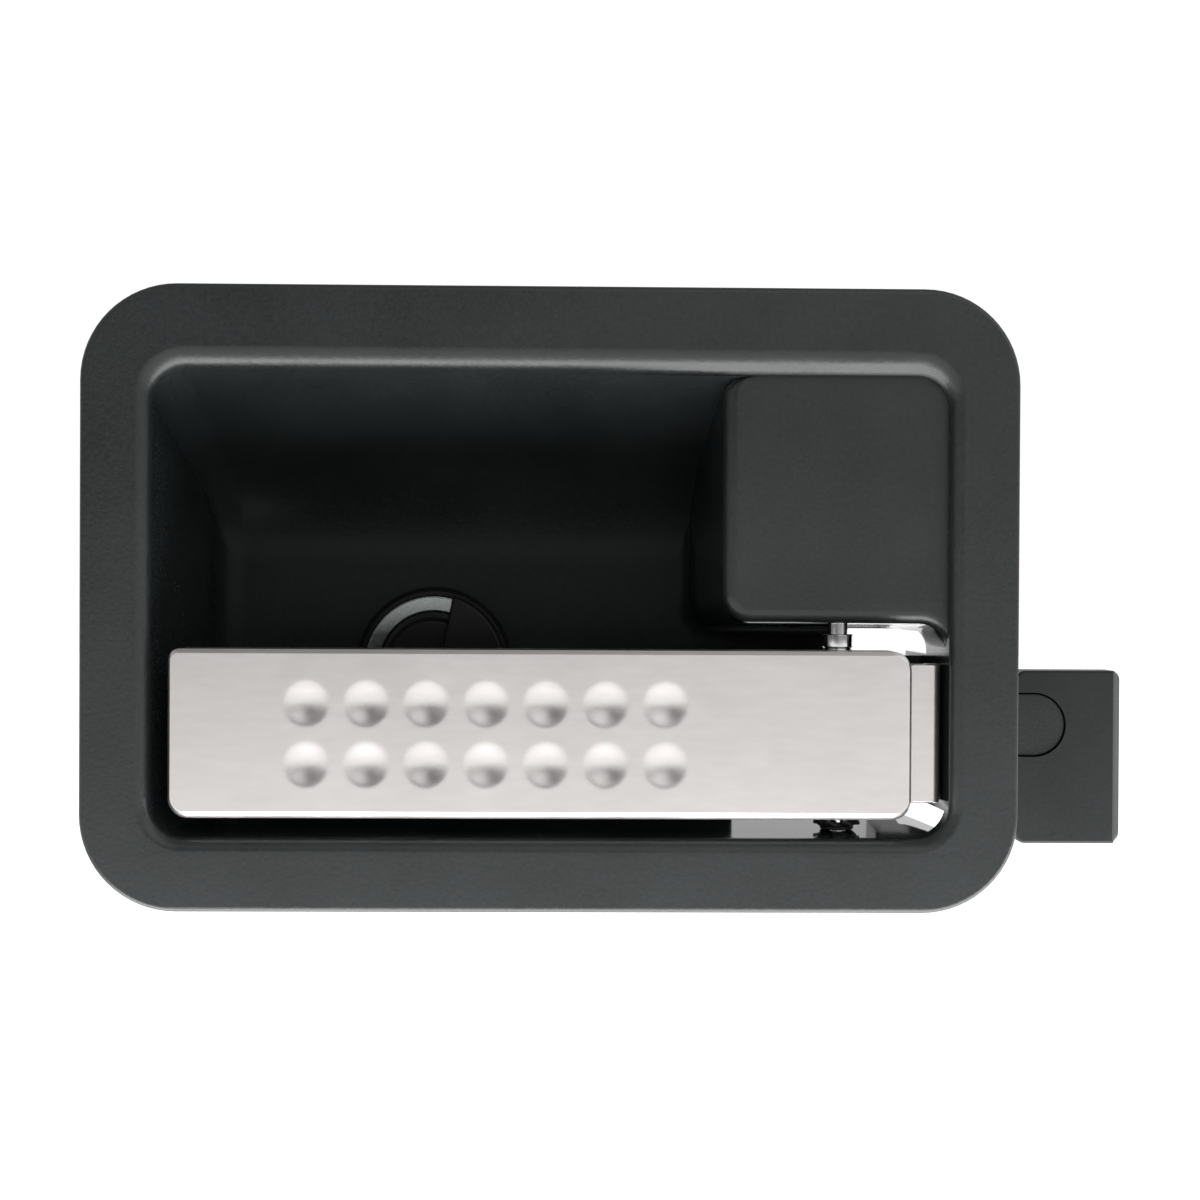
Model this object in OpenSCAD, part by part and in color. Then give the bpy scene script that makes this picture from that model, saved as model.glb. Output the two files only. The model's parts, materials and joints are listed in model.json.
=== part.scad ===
// Interior door handle: a dished pan with a hinged pull lever, a sliding bolt and a quarter-turn snib.
// Millimetres. +X right, +Y into the door, +Z up. The door panel's front face lies at Y = 0.

/* [Flange] */
// Width of the flange
flange_w = 180; // [170:1:200]
// Height of the flange
flange_h = 120; // [110:1:135]
// Thickness of the flange
flange_t = 2.5; // [2:0.5:3]
// Corner radius of the flange
flange_r = 18.5; // [14:0.5:22]
// Thickness of the gasket behind the flange
gasket_t = 1.5; // [1:0.5:2]
// How far the gasket stays inside the flange's outline
gasket_in = 1; // [0.5:0.5:2]

/* [Studs] */
// Distance between the studs along X
stud_dx = 140; // [100:1:144]
// Distance from a stud to the flange's long edge
stud_edge = 6; // [5.5:0.25:6.5]
// Radius of a stud
stud_r = 2.5; // [2:0.5:3]
// Length of a stud behind the panel's front face
stud_l = 16; // [10:1:20]

/* [Dish] */
// Flange left at each end of the dish
side_margin = 13; // [12.5:0.5:14.5]
// Flange left above the dish
top_margin = 14.5; // [14:0.5:16]
// Flange left below the dish
bottom_margin = 14; // [14:0.5:16]
// Depth of the dish behind the flange's front
dish_depth = 46; // [44:0.5:50]
// Wall thickness
wall_t = 2; // [1.6:0.2:2.4]
// Corner radius of the dish
dish_r = 6.5; // [5:0.5:8]
// Radius of the rounded rim
rim_r = 2.5; // [2:0.5:3]
// Radius between the walls and the floor
floor_r = 5; // [4:0.5:6]
// Draft of the wall at the finger end
finger_draft = 7; // [4:0.5:8]
// Draft of the wall at the hinge end
hinge_draft = 2; // [1.5:0.5:2]
// Draft of the bottom wall
bottom_draft = 4; // [3:0.5:4]
// Slope of the top wall
scoop_a = 27; // [22:1:30]
// Radius of the scoop between the top wall and the floor
scoop_r = 24; // [20:1:26]

/* [Raised block] */
// Width of the raised block at its front
block_w = 43.6; // [40:0.1:47]
// Space between the block and the paddle below it
block_gap = 5.3; // [5:0.1:6]
// Depth of the block's front behind the flange's front
block_d = 4; // [3.5:0.5:5]
// Corner radius of the block
block_r = 5.5; // [4:0.5:7]
// Rounding of the block's front edge
block_edge = 2.5; // [1.5:0.5:3]

/* [Lever] */
// Space between the dish and the paddle's free end
lever_end_gap = 4; // [2.5:0.5:6]
// Space between the dish and the paddle's hinge end
lever_hinge_gap = 7.7; // [7.5:0.1:8.5]
// Height of the paddle
lever_h = 32.4; // [30:0.1:33]
// Space between the bottom of the dish and the paddle
lever_under = 4; // [4:0.1:5]
// Front of the paddle in front of the flange
lever_proud = 1; // [0.5:0.5:1.5]
// Depth of the paddle with its rims
lever_d = 8.5; // [8:0.5:8.5]
// Thickness of the paddle's front
paddle_t = 3; // [2.5:0.5:3]
// Bevel along the paddle's long edges
lever_bevel = 1.3; // [0.8:0.1:1.6]
// Radius of a dimple's outline
dimple_r = 4.1; // [3.5:0.1:4.5]
// Depth of a dimple
dimple_d = 1; // [0.6:0.1:1.2]
// Distance between dimples along the paddle
dimple_px = 11.4; // [10.5:0.1:11.5]
// Distance between the two rows of dimples
dimple_pz = 11.6; // [11:0.1:13]
// Distance from the paddle's free end to the first dimple
dimple_in = 26.5; // [24:0.5:28]

/* [Hinge] */
// Distance from the hinge end of the dish to the hinge pin
pivot_in = 20.5; // [20.3:0.1:20.9]
// Distance of the hinge pin behind the panel's front face
pivot_y = 7; // [6.8:0.1:7.2]
// Radius of the hinge pin
pin_r = 2; // [1.8:0.1:2.2]
// Opening angle of the lever
lever_swing = 36; // [30:1:36]
// Distance from the pin to the drive finger's tip
crank_r = 22; // [21:0.1:22.4]

/* [Bolt] */
// Height of the bolt bar
bar_h = 13; // [12:0.5:14]
// Thickness of the bolt bar
bar_t = 5; // [4.5:0.5:5]
// Length of the bolt head
head_len = 22.5; // [21:0.5:30]
// Height of the bolt head above the bar's middle
head_over = 11.3; // [9.5:0.1:13]
// Height of the bolt head below the bar's middle
head_under = 24.7; // [20:0.1:26]
// Thickness of the bolt head
head_t = 8; // [7.5:0.5:9]

/* [Snib] */
// Distance from the finger end of the dish to the snib
snib_in = 51.5; // [42:0.5:54]
// Height of the snib above the paddle's middle
snib_up = 11.4; // [9:0.2:14]
// Radius of the rosette
rosette_r = 16.6; // [15.8:0.2:18]
// Radius of the thumb piece
thumb_r = 15.4; // [15:0.1:18]
// Distance from the cam's axis to its rod hole
cam_arm = 18; // [15:1:22]
// Radius of the cam's rod hole
rod_r = 2.05; // [1.55:0.1:2.55]

/* [Clearances] */
// Radial clearance of a turning or sliding fit
run = 0.05; // [0.03:0.01:0.08]
// Radial clearance of a fixed fit
seat_fit = 0.02; // [0.01:0.01:0.03]
// Gap between pieces that only lie side by side
gap = 0.3; // [0.2:0.05:0.35]

/* [Hidden] */
$fn = 64;
corner_steps = 6;
arc_steps = 7;
rim_steps = 4;

// The dish
dish_w = flange_w - 2 * side_margin;
dish_top = flange_h / 2 - top_margin;
dish_bottom = flange_h / 2 - bottom_margin;
stud_dz = flange_h - 2 * stud_edge;
stud_root_r = stud_r + 0.25;
face_y = -(gasket_t + flange_t);
floor_y = face_y + dish_depth;
back_y = floor_y + wall_t;
scoop_d0 = dish_depth - scoop_r + scoop_r * sin(scoop_a);
scoop_z = dish_top - tan(scoop_a) * scoop_d0 - scoop_r * cos(scoop_a);
far = 2 * flange_w;

// The paddle and its hinge arm
lever_l = -dish_w / 2 + lever_end_gap;
lever_r = dish_w / 2 - lever_hinge_gap;
lever_z = -dish_bottom + lever_under + lever_h / 2;
lever_y = face_y - lever_proud;
plate_y = lever_y + paddle_t;
lever_top = lever_z + lever_h / 2;
lever_bottom = lever_z - lever_h / 2;
small_corner = 2.5;
large_corner = 4;
rim_wall = 2.4;
rib_t = 2;
rib_h = 3;
pivot_x = dish_w / 2 - pivot_in;
nose_r = pivot_in - 0.6;
nose_step = 0.4;
nose_t = 3;
arm_h = lever_h - 2 * rim_wall - 2 * gap;
arm_top = lever_z + arm_h / 2;
arm_bottom = lever_z - arm_h / 2;
arm_t = 4;
nose_front = plate_y + arm_t - 0.8;
arm_reach = 29.5;
arm_l = pivot_x - arm_reach;
arm_screw_in = 5;
arm_screw_pitch = 13;
arm_screw_x = [arm_l + arm_screw_in, arm_l + arm_screw_in + arm_screw_pitch];
arm_screw_z = lever_h / 4;
arm_screw_r = 1.6;
arm_screw_head = 1.9;
ear_t = 3;
ear_r = 6.5;
ear_root = 10.5;
bush_r = 3.5;
bush_flange = 1;
bush_lip = 1.1;
spacer_r = 3;
spacer_over = 3;
clip_r = 4.6;
clip_t = 0.6;
clip_z = lever_bottom - 2.3;
finger_t = 5;
finger_r = 3;
finger_neck = 4;
finger_hub_r = 6;
finger_play = 0.15;
tip_x = pivot_x + crank_r * sin(lever_swing / 2);
tip_y = pivot_y + crank_r * cos(lever_swing / 2);

// The raised block and the hinge pin's bosses
block_right = dish_w / 2 + 0.1;
block_l = block_right - block_w;
block_b = lever_top + block_gap;
block_top = dish_top + 1;
block_out = 40;
block_draft = 6;
block_under_draft = 2;
pin_boss_r = 3.6;
pin_boss_h = 5;
pin_top = block_b + wall_t / 2 + pin_boss_h - 1;
pin_bottom = -dish_bottom - wall_t;

// The return spring
wire_r = 0.65;
coil_r = 3.6;
coil_pitch = 1.5;
coil_play = 0.5;
coil_a0 = 50;
coil_part_turn = 280;
coil_room = arm_h / 2 - ear_t - bush_flange - finger_t / 2 - 2 * (coil_play + wire_r);
coil_turns = floor(coil_room / coil_pitch - coil_part_turn / 360);
coil_a1 = coil_a0 + coil_part_turn + 360 * coil_turns;
coil_steps = 20 * (coil_turns + 1);
coil_z0 = lever_z + finger_t / 2 + coil_play + wire_r;
lever_leg = 11;
pan_leg = 19;

// The bolt and its slide
bar_y = pivot_y + crank_r * (1 + cos(lever_swing / 2)) / 2;
bar_front = bar_y - bar_t / 2;
bar_tail = 5;
bar_l = tip_x - finger_r - bar_tail;
bolt_travel = 2 * crank_r * sin(lever_swing / 2);
shoulder_in = 1.1;
shoulder_x = tip_x + finger_r - shoulder_in;
shoulder_over = 3.5;
shoulder_h = bar_h + 2 * shoulder_over;
buffer_t = 1.5;
boss_l = shoulder_x + buffer_t + gap;
boss_r = dish_w / 2 + wall_t;
boss_over = 8;
boss_h = bar_h + 2 * boss_over;
boss_wall = 3.5;
boss_d = bar_t + 2 * boss_wall;
liner_t = 1.4;
liner_flange = 1;
slide_d = bar_t + 2 * (run + liner_t);
slide_h = bar_h + 2 * (run + liner_t);
guide_plate_t = 1.2;
guide_plate_play = 0.5;
guide_screw_in = 2.7;
guide_screw_z = boss_h / 2 - guide_screw_in;
guide_screw_r = 1.5;
guide_screw_l = 6;
guide_head_r = 2.4;
guide_head_t = 1.5;
head_l = boss_r + liner_flange + guide_plate_t + guide_head_t + gap + bolt_travel;
head_r = head_l + head_len;
head_top = lever_z + head_over;
head_bottom = lever_z - head_under;
head_front = bar_front - 0.5;
head_corner = 2;
nose_x = 2.2;
nose_y = 3;
bar_end = head_l + 0.456 * head_len;
pocket_r = bar_h / 2 + 0.2;
bolt_screw_in = 2.6;
bolt_screw_x = [head_l + bolt_screw_in, bar_end - bolt_screw_in];
bolt_screw_r = 1.25;
bolt_head_r = 2.1;
bolt_head_t = 1.6;

// The cut-outs at the hinge end
window_l = block_l + 5.5;
window_top = lever_top - 4.4;
notch_l = pivot_x + 7.2;
notch_top = block_b - 1.9;
side_cut_x = dish_w / 2 - 7;
lower_cut_d = 5;
upper_cut_d = 22;

// The snib
snib_x = -dish_w / 2 + snib_in;
snib_z = lever_z + snib_up;
sleeve_r = 6;
sleeve_fit = 0.15;
spindle_r = 4;
ring_ro = rosette_r - 1.7;
ring_ri = 11.7;
rosette_t = 2.2;
rosette_y = floor_y - rosette_t;
collar_r = ring_ri - 0.7;
collar_t = 1.2;
ring_t = 1.6;
knob_r = ring_ri - 0.4;
knob_back = rosette_y - collar_t - gap;
knob_t = 3.7;
knob_socket = 2.5;
thumb_t = 4;
thumb_flat = 1.5;
thumb_a = 11;
washer_r = 11;
washer_t = 1;
nut_t = 5;
nut_af = 17;
sleeve_end = back_y + washer_t + nut_t + 2;
wave_r = 7;
wave_t = 0.8;
cam_t = 2;
cam_y = sleeve_end + wave_t;
cam_hub_r = 8;
cam_tip_r = 5;
tail_w = 5.6;
cam_screw_r = 1.9;
cam_screw_l = 6;
cam_head_r = 4.2;
cam_head_t = 2.5;

// A flat shape in X and Z, given depth from y0 towards +Y
module slab(y0, depth) {
    translate([0, y0 + depth, 0]) rotate([90, 0, 0]) linear_extrude(height = depth) children();
}

// A round bar along Y from y0
module bar_along_y(r, y0, depth) {
    translate([0, y0 + depth, 0]) rotate([90, 0, 0]) cylinder(r = r, h = depth);
}

// A round bar along X from x0
module bar_along_x(r, x0, length) {
    translate([x0, 0, 0]) rotate([0, 90, 0]) cylinder(r = r, h = length);
}

// A rectangle with round corners, centred
module round_rect(w, h, r) {
    square([w - 2 * r, h], center = true);
    square([w, h - 2 * r], center = true);
    for (x = [-1, 1], z = [-1, 1]) translate([x * (w / 2 - r), z * (h / 2 - r)]) circle(r = r);
}

module at_pivot() {
    translate([pivot_x, pivot_y, 0]) children();
}

module at_snib() {
    translate([snib_x, 0, snib_z]) children();
}

// One corner of a ring of points in X and Z at the depth y
function corner(cx, cz, r, a0, y) = [for (i = [0:corner_steps])
    [cx + r * cos(a0 + 90 * i / corner_steps), y, cz + r * sin(a0 + 90 * i / corner_steps)]];

// A ring of points round a rectangle with round corners, at the depth y
function ring(l, r, b, t, rad, y) = concat(
    corner(r - rad, t - rad, rad, 0, y), corner(l + rad, t - rad, rad, 90, y),
    corner(l + rad, b + rad, rad, 180, y), corner(r - rad, b + rad, rad, 270, y));

// A solid through a stack of rings, front to back
module loft(rings) {
    n = len(rings[0]);
    m = len(rings);
    polyhedron(
        points = [for (g = rings) each g],
        faces = concat(
            [[for (i = [n - 1:-1:0]) i]],
            [for (k = [0:m - 2], i = [0:n - 1]) each [
                [k * n + i, k * n + (i + 1) % n, (k + 1) * n + (i + 1) % n],
                [k * n + i, (k + 1) * n + (i + 1) % n, (k + 1) * n + i]]],
            [[for (i = [0:n - 1]) (m - 1) * n + i]]));
}

// How far the floor radius has drawn a wall in at the depth d, on a skin moved out by off
function floor_in(d, off) = d <= dish_depth - floor_r ? 0
    : floor_r + off - sqrt(max(0, pow(floor_r + off, 2) - pow(d - dish_depth + floor_r, 2)));

// One ring of the dish at the depth d, with its top at t and its edge moved out by e
function dish_ring(d, t, e, off) = let (i = floor_in(d, off)) ring(
    -dish_w / 2 - off - e + i + tan(finger_draft) * d,
    dish_w / 2 + off + e - i - tan(hinge_draft) * d,
    -dish_bottom - off - e + i + tan(bottom_draft) * d,
    t + e, max(dish_r + off + e - i, 2 + off), face_y + d);

// The sloped top wall at the depth d
function slope_top(d, off) = dish_top + off / cos(scoop_a) - tan(scoop_a) * d;

// The rings of the scooped back part of the dish
function scoop_rings(off) = [for (k = [0:arc_steps]) let (a = scoop_a + (90 - scoop_a) * k / arc_steps)
    dish_ring(dish_depth - scoop_r + (scoop_r + off) * sin(a), scoop_z + (scoop_r + off) * cos(a), 0, off)];

// The hollow of the dish with its rounded rim
module dish_hollow() {
    loft(concat(
        [dish_ring(-1, dish_top, rim_r, 0)],
        [for (k = [0:rim_steps]) let (a = 90 * k / rim_steps, d = rim_r * (1 - cos(a)))
            dish_ring(d, slope_top(d, 0), rim_r * (1 - sin(a)), 0)],
        scoop_rings(0)));
}

// The outside of the dish
module dish_skin() {
    loft(concat([dish_ring(1, slope_top(1, wall_t), 0, wall_t)], scoop_rings(wall_t)));
}

// The raised block, drawn in by inset, with its right and top sides moved out by spread
module block_form(inset, spread) {
    front = block_d + inset;
    last = dish_depth + wall_t + 2;
    edge = max(block_edge - inset, 0.5);
    loft(concat(
        [for (k = [0:3]) let (a = 90 * k / 3, in = edge * (1 - sin(a)), d = front + edge * (1 - cos(a)))
            block_ring(d, inset + in, inset, spread)],
        [block_ring(last, inset, inset, spread)]));
}

function block_ring(d, in, inset, spread) = ring(
    block_l + in - tan(block_draft) * (d - block_d), block_right - in + inset + spread,
    block_b + in - tan(block_under_draft) * (d - block_d), block_top - in + inset + spread,
    max(block_r - in, 1), face_y + d);

module housing_pan() {
    color([0.08, 0.08, 0.09]) difference() {
        union() {
            difference() {
                union() {
                    slab(face_y, flange_t) round_rect(flange_w, flange_h, flange_r);
                    dish_skin();
                }
                difference() {
                    dish_hollow();
                    block_form(0, 0);
                }
                block_form(wall_t, block_out);
            }
            // Bosses for the hinge pin
            at_pivot() translate([0, 0, block_b + wall_t / 2]) cylinder(r = pin_boss_r, h = pin_boss_h);
            at_pivot() translate([0, 0, pin_bottom - 0.2]) cylinder(r = pin_boss_r, h = wall_t + 0.4);
            // Boss that carries the bolt's slide
            translate([boss_l, bar_y - boss_d / 2, lever_z - boss_h / 2])
                cube([boss_r - boss_l, boss_d, boss_h]);
        }
        // Cut-out in the floor at the hinge end
        translate([window_l, floor_y - floor_r, window_top - far]) cube([far, far, far]);
        translate([notch_l, floor_y - floor_r, notch_top - far]) cube([far, far, far]);
        // Cut-outs in the wall at the hinge end, below and above the bolt's slide
        translate([side_cut_x, face_y + lower_cut_d, lever_z - boss_h / 2 - 0.5 - far]) cube([far, far, far]);
        translate([side_cut_x, face_y + upper_cut_d, lever_z + boss_h / 2 + 0.5])
            cube([far, far, notch_top - lever_z - boss_h / 2 - 0.5]);
        // Hinge pin holes
        at_pivot() translate([0, 0, pin_top - far]) cylinder(r = pin_r + seat_fit, h = far);
        // Hole and screw holes for the bolt's slide
        translate([boss_l - gap, bar_y - slide_d / 2 - run, lever_z - slide_h / 2 - run])
            cube([far, slide_d + 2 * run, slide_h + 2 * run]);
        for (s = [-1, 1]) translate([0, bar_y, lever_z + s * guide_screw_z])
            bar_along_x(guide_screw_r + seat_fit, boss_r - guide_screw_l - 1, far);
        // Hole for the snib's sleeve
        at_snib() bar_along_y(sleeve_r + sleeve_fit, floor_y - 1, wall_t + 2);
    }
}

module flange_gasket() {
    color([0.05, 0.05, 0.05]) slab(-gasket_t, gasket_t) difference() {
        round_rect(flange_w - 2 * gasket_in, flange_h - 2 * gasket_in, flange_r - gasket_in);
        translate([0, (dish_top - dish_bottom) / 2]) round_rect(dish_w + 2 * wall_t + 2,
            dish_top + dish_bottom + 2 * wall_t + 2, dish_r + wall_t + 1);
        for (x = [-1, 1], z = [-1, 1]) translate([x * stud_dx / 2, z * stud_dz / 2])
            circle(r = stud_root_r + gap);
    }
}

module panel_studs() {
    color([0.75, 0.75, 0.72]) for (x = [-1, 1], z = [-1, 1])
        translate([x * stud_dx / 2, 0, z * stud_dz / 2]) {
        translate([0, -gasket_t, 0]) rotate([-90, 0, 0])
            cylinder(r1 = stud_root_r, r2 = stud_r, h = gasket_t);
        bar_along_y(stud_r, 0, stud_l - 1);
        translate([0, stud_l - 1, 0]) rotate([-90, 0, 0]) cylinder(r1 = stud_r, r2 = stud_r - 0.8, h = 1);
    }
}

module hinge_pin() {
    color([0.7, 0.7, 0.7]) at_pivot() translate([0, 0, pin_bottom])
        cylinder(r = pin_r, h = pin_top - 0.1 - pin_bottom);
}

module hinge_spacers() {
    upper = arm_top + run;
    lower = clip_z + clip_t + run;
    color([0.72, 0.71, 0.68]) at_pivot() difference() {
        union() {
            translate([0, 0, upper]) cylinder(r = spacer_r, h = lever_top + spacer_over - upper);
            translate([0, 0, lower]) cylinder(r = spacer_r, h = arm_bottom - run - lower);
        }
        translate([0, 0, -far / 2]) cylinder(r = pin_r + seat_fit, h = far);
    }
}

module star_clip() {
    color([0.06, 0.06, 0.06]) at_pivot() translate([0, 0, clip_z]) difference() {
        cylinder(r = clip_r, h = clip_t);
        translate([0, 0, -1]) cylinder(r = pin_r + seat_fit, h = clip_t + 2);
        for (a = [0:60:300]) rotate([0, 0, a]) translate([0.7 * clip_r, -0.1 * clip_r, -1])
            cube([clip_r, 0.2 * clip_r, clip_t + 2]);
    }
}

// The return spring's wire: each entry is a point on its middle line and the direction across it
function coil_dir(a) = [cos(a), sin(a), 0];
function coil_at(a) = coil_r * coil_dir(a) + [0, 0, coil_z0 + coil_pitch * (a - coil_a0) / 360];
wire_path = concat(
    [[coil_at(coil_a0) + lever_leg * [sin(coil_a0), -cos(coil_a0), 0], coil_dir(coil_a0)]],
    [for (k = [0:coil_steps]) let (a = coil_a0 + (coil_a1 - coil_a0) * k / coil_steps)
        [coil_at(a), coil_dir(a)]],
    [[coil_at(coil_a1) + pan_leg * [-sin(coil_a1), cos(coil_a1), 0], coil_dir(coil_a1)]]);

module lever_spring() {
    color([0.45, 0.45, 0.47]) at_pivot() loft([for (p = wire_path)
        [for (i = [0:7]) p[0] + wire_r * (cos(45 * i) * p[1] + [0, 0, sin(45 * i)])]]);
}

module guide_liner() {
    color([0.85, 0.84, 0.8]) difference() {
        union() {
            translate([boss_l, bar_y - slide_d / 2, lever_z - slide_h / 2])
                cube([boss_r - boss_l + 0.5, slide_d, slide_h]);
            translate([boss_r, bar_y - boss_d / 2, lever_z - boss_h / 2])
                cube([liner_flange, boss_d, boss_h]);
        }
        translate([boss_l - gap, bar_y - bar_t / 2 - run, lever_z - bar_h / 2 - run])
            cube([far, bar_t + 2 * run, bar_h + 2 * run]);
        for (s = [-1, 1]) translate([0, bar_y, lever_z + s * guide_screw_z])
            bar_along_x(guide_screw_r + 0.1, boss_r - 1, liner_flange + 2);
    }
}

module guide_plate() {
    color([0.7, 0.7, 0.68]) difference() {
        translate([boss_r + liner_flange, bar_y - boss_d / 2, lever_z - boss_h / 2])
            cube([guide_plate_t, boss_d, boss_h]);
        translate([boss_r, bar_y - bar_t / 2 - guide_plate_play, lever_z - bar_h / 2 - guide_plate_play])
            cube([far, bar_t + 2 * guide_plate_play, bar_h + 2 * guide_plate_play]);
        for (s = [-1, 1]) translate([0, bar_y, lever_z + s * guide_screw_z])
            bar_along_x(guide_screw_r + 0.1, boss_r, far);
    }
}

module guide_screws() {
    seat = boss_r + liner_flange + guide_plate_t;
    color([0.75, 0.75, 0.72]) for (s = [-1, 1])
        translate([0, bar_y, lever_z + s * guide_screw_z]) difference() {
        union() {
            bar_along_x(guide_screw_r, boss_r - guide_screw_l, seat - boss_r + guide_screw_l + 0.5);
            bar_along_x(guide_head_r, seat, guide_head_t);
        }
        translate([seat + guide_head_t, 0, 0]) rotate([0, 90, 0]) cross_slot(guide_head_r, guide_head_t);
    }
}

module snib_rosette() {
    color([0.07, 0.07, 0.08]) at_snib() difference() {
        bar_along_y(rosette_r, rosette_y, rosette_t);
        bar_along_y(sleeve_r + sleeve_fit, rosette_y - 1, rosette_t + 2);
    }
}

module snib_ring() {
    color([0.8, 0.8, 0.8]) at_snib() difference() {
        bar_along_y(ring_ro, rosette_y - ring_t, ring_t);
        bar_along_y(ring_ri, rosette_y - ring_t - 1, ring_t + 2);
    }
}

module snib_sleeve() {
    color([0.6, 0.6, 0.6]) at_snib() difference() {
        union() {
            bar_along_y(collar_r, rosette_y - collar_t, collar_t);
            bar_along_y(sleeve_r, rosette_y - 0.5, sleeve_end - rosette_y + 0.5);
        }
        bar_along_y(spindle_r + run, rosette_y - far / 2, far);
    }
}

module snib_washer() {
    color([0.75, 0.75, 0.72]) at_snib() difference() {
        bar_along_y(washer_r, back_y, washer_t);
        bar_along_y(sleeve_r + sleeve_fit, back_y - 1, washer_t + 2);
    }
}

module snib_nut() {
    color([0.75, 0.75, 0.72]) at_snib() difference() {
        translate([0, back_y + washer_t + nut_t, 0]) rotate([90, 0, 0])
            cylinder(r = nut_af / 2 / cos(30), h = nut_t, $fn = 6);
        bar_along_y(sleeve_r + seat_fit, back_y, washer_t + nut_t + 1);
    }
}

// The paddle's outline, with small corners at the free end and larger ones at the hinge end
module paddle_outline() {
    translate([lever_l + small_corner, lever_bottom])
        square([lever_r - lever_l - small_corner - large_corner, lever_h]);
    translate([lever_l, lever_bottom + small_corner]) square([small_corner + 1, lever_h - 2 * small_corner]);
    translate([lever_r - large_corner - 1, lever_bottom + large_corner])
        square([large_corner + 1, lever_h - 2 * large_corner]);
    for (z = [lever_bottom + small_corner, lever_top - small_corner])
        translate([lever_l + small_corner, z]) circle(r = small_corner);
    for (z = [lever_bottom + large_corner, lever_top - large_corner])
        translate([lever_r - large_corner, z]) circle(r = large_corner);
}

// A cross recess cut into a screw head's top at Z = 0, for a head of radius r and thickness t
module cross_slot(r, t) {
    for (a = [0, 90]) rotate([0, 0, a]) translate([0, 0, 0.5])
        cube([1.3 * r, 0.28 * r, t + 1], center = true);
}

// Where the screws between the paddle and its hinge arm sit
module at_lever_screws() {
    for (x = arm_screw_x, s = [-1, 1]) translate([x, 0, lever_z + s * arm_screw_z]) children();
}

module lever_paddle() {
    ball_r = (dimple_r * dimple_r + dimple_d * dimple_d) / (2 * dimple_d);
    back = lever_y + lever_d;
    b = lever_bevel;
    color([0.72, 0.7, 0.67]) union() {
        difference() {
            intersection() {
                slab(lever_y, lever_d) paddle_outline();
                translate([-far / 2, 0, 0]) rotate([90, 0, 90]) linear_extrude(height = far)
                    polygon([[lever_y, lever_bottom + b], [lever_y, lever_top - b], [lever_y + b, lever_top],
                        [back, lever_top], [back, lever_bottom], [lever_y + b, lever_bottom]]);
            }
            translate([lever_l + rim_wall, plate_y, lever_bottom + rim_wall])
                cube([far, far, lever_h - 2 * rim_wall]);
            for (i = [0:6], s = [-1, 1]) translate([lever_l + dimple_in + i * dimple_px,
                lever_y + dimple_d - ball_r, lever_z + s * dimple_pz / 2]) sphere(r = ball_r);
            at_lever_screws() bar_along_y(arm_screw_r + run, plate_y - 0.7 * paddle_t - 0.1, paddle_t);
        }
        // Stiffening ribs behind the paddle
        for (k = [1:4]) translate([lever_l + k * (arm_l - lever_l - rib_t) / 4.3, plate_y - 0.5,
            lever_bottom + rim_wall - 0.5]) cube([rib_t, rib_h + 0.5, lever_h - 2 * rim_wall + 1]);
    }
}

// The arm's plate, its stepped end and its round nose, seen along Z
module arm_shape() {
    intersection() {
        union() {
            translate([arm_l, plate_y]) square([lever_r + nose_step - arm_l, arm_t]);
            translate([lever_r - 1, nose_front]) square([far, nose_t]);
        }
        union() {
            translate([pivot_x, pivot_y]) circle(r = nose_r);
            translate([pivot_x - far, plate_y - far / 2]) square([far, far]);
        }
    }
    translate([pivot_x, pivot_y]) intersection() {
        difference() {
            circle(r = nose_r);
            circle(r = nose_r - nose_t);
        }
        translate([0, nose_front - pivot_y]) square([far, pivot_y - nose_front + 0.2]);
    }
}

module ear_shape() {
    translate([pivot_x, pivot_y]) circle(r = ear_r);
    polygon([[pivot_x - ear_root, plate_y + 1], [pivot_x + ear_root, plate_y + 1],
        [pivot_x + 0.92 * ear_r, pivot_y + 0.39 * ear_r], [pivot_x - 0.92 * ear_r, pivot_y + 0.39 * ear_r]]);
}

// The drive finger, seen along Z
module finger_shape() {
    c = cos(lever_swing / 2);
    s = sin(lever_swing / 2);
    n = finger_neck / 2;
    translate([pivot_x, pivot_y]) circle(r = finger_hub_r);
    translate([pivot_x - 0.8 * finger_hub_r, plate_y + 1])
        square([1.6 * finger_hub_r, pivot_y - plate_y - 1]);
    translate([tip_x, tip_y]) circle(r = finger_r);
    polygon([[pivot_x - n * c, pivot_y + n * s], [pivot_x + n * c, pivot_y - n * s],
        [tip_x + n * c, tip_y - n * s], [tip_x - n * c, tip_y + n * s]]);
}

module lever_arm() {
    color([0.7, 0.69, 0.67]) difference() {
        union() {
            translate([0, 0, arm_bottom]) linear_extrude(height = arm_h) arm_shape();
            for (z = [arm_bottom, arm_top - ear_t])
                translate([0, 0, z]) linear_extrude(height = ear_t) ear_shape();
            translate([0, 0, lever_z - finger_t / 2]) linear_extrude(height = finger_t) finger_shape();
        }
        at_pivot() {
            translate([0, 0, arm_top - ear_t - 1]) cylinder(r = bush_r + seat_fit, h = ear_t + 2);
            translate([0, 0, arm_bottom - 1]) cylinder(r = bush_r + seat_fit, h = ear_t + 2);
            translate([0, 0, lever_z - finger_t]) cylinder(r = pin_r + gap, h = 2 * finger_t);
        }
        at_lever_screws() bar_along_y(arm_screw_r + 0.2, plate_y - 1, arm_t + 2);
    }
}

// A bush with its flange at the bottom
module bush() {
    cylinder(r = bush_r + bush_lip, h = bush_flange);
    cylinder(r = bush_r, h = bush_flange + ear_t);
}

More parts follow.
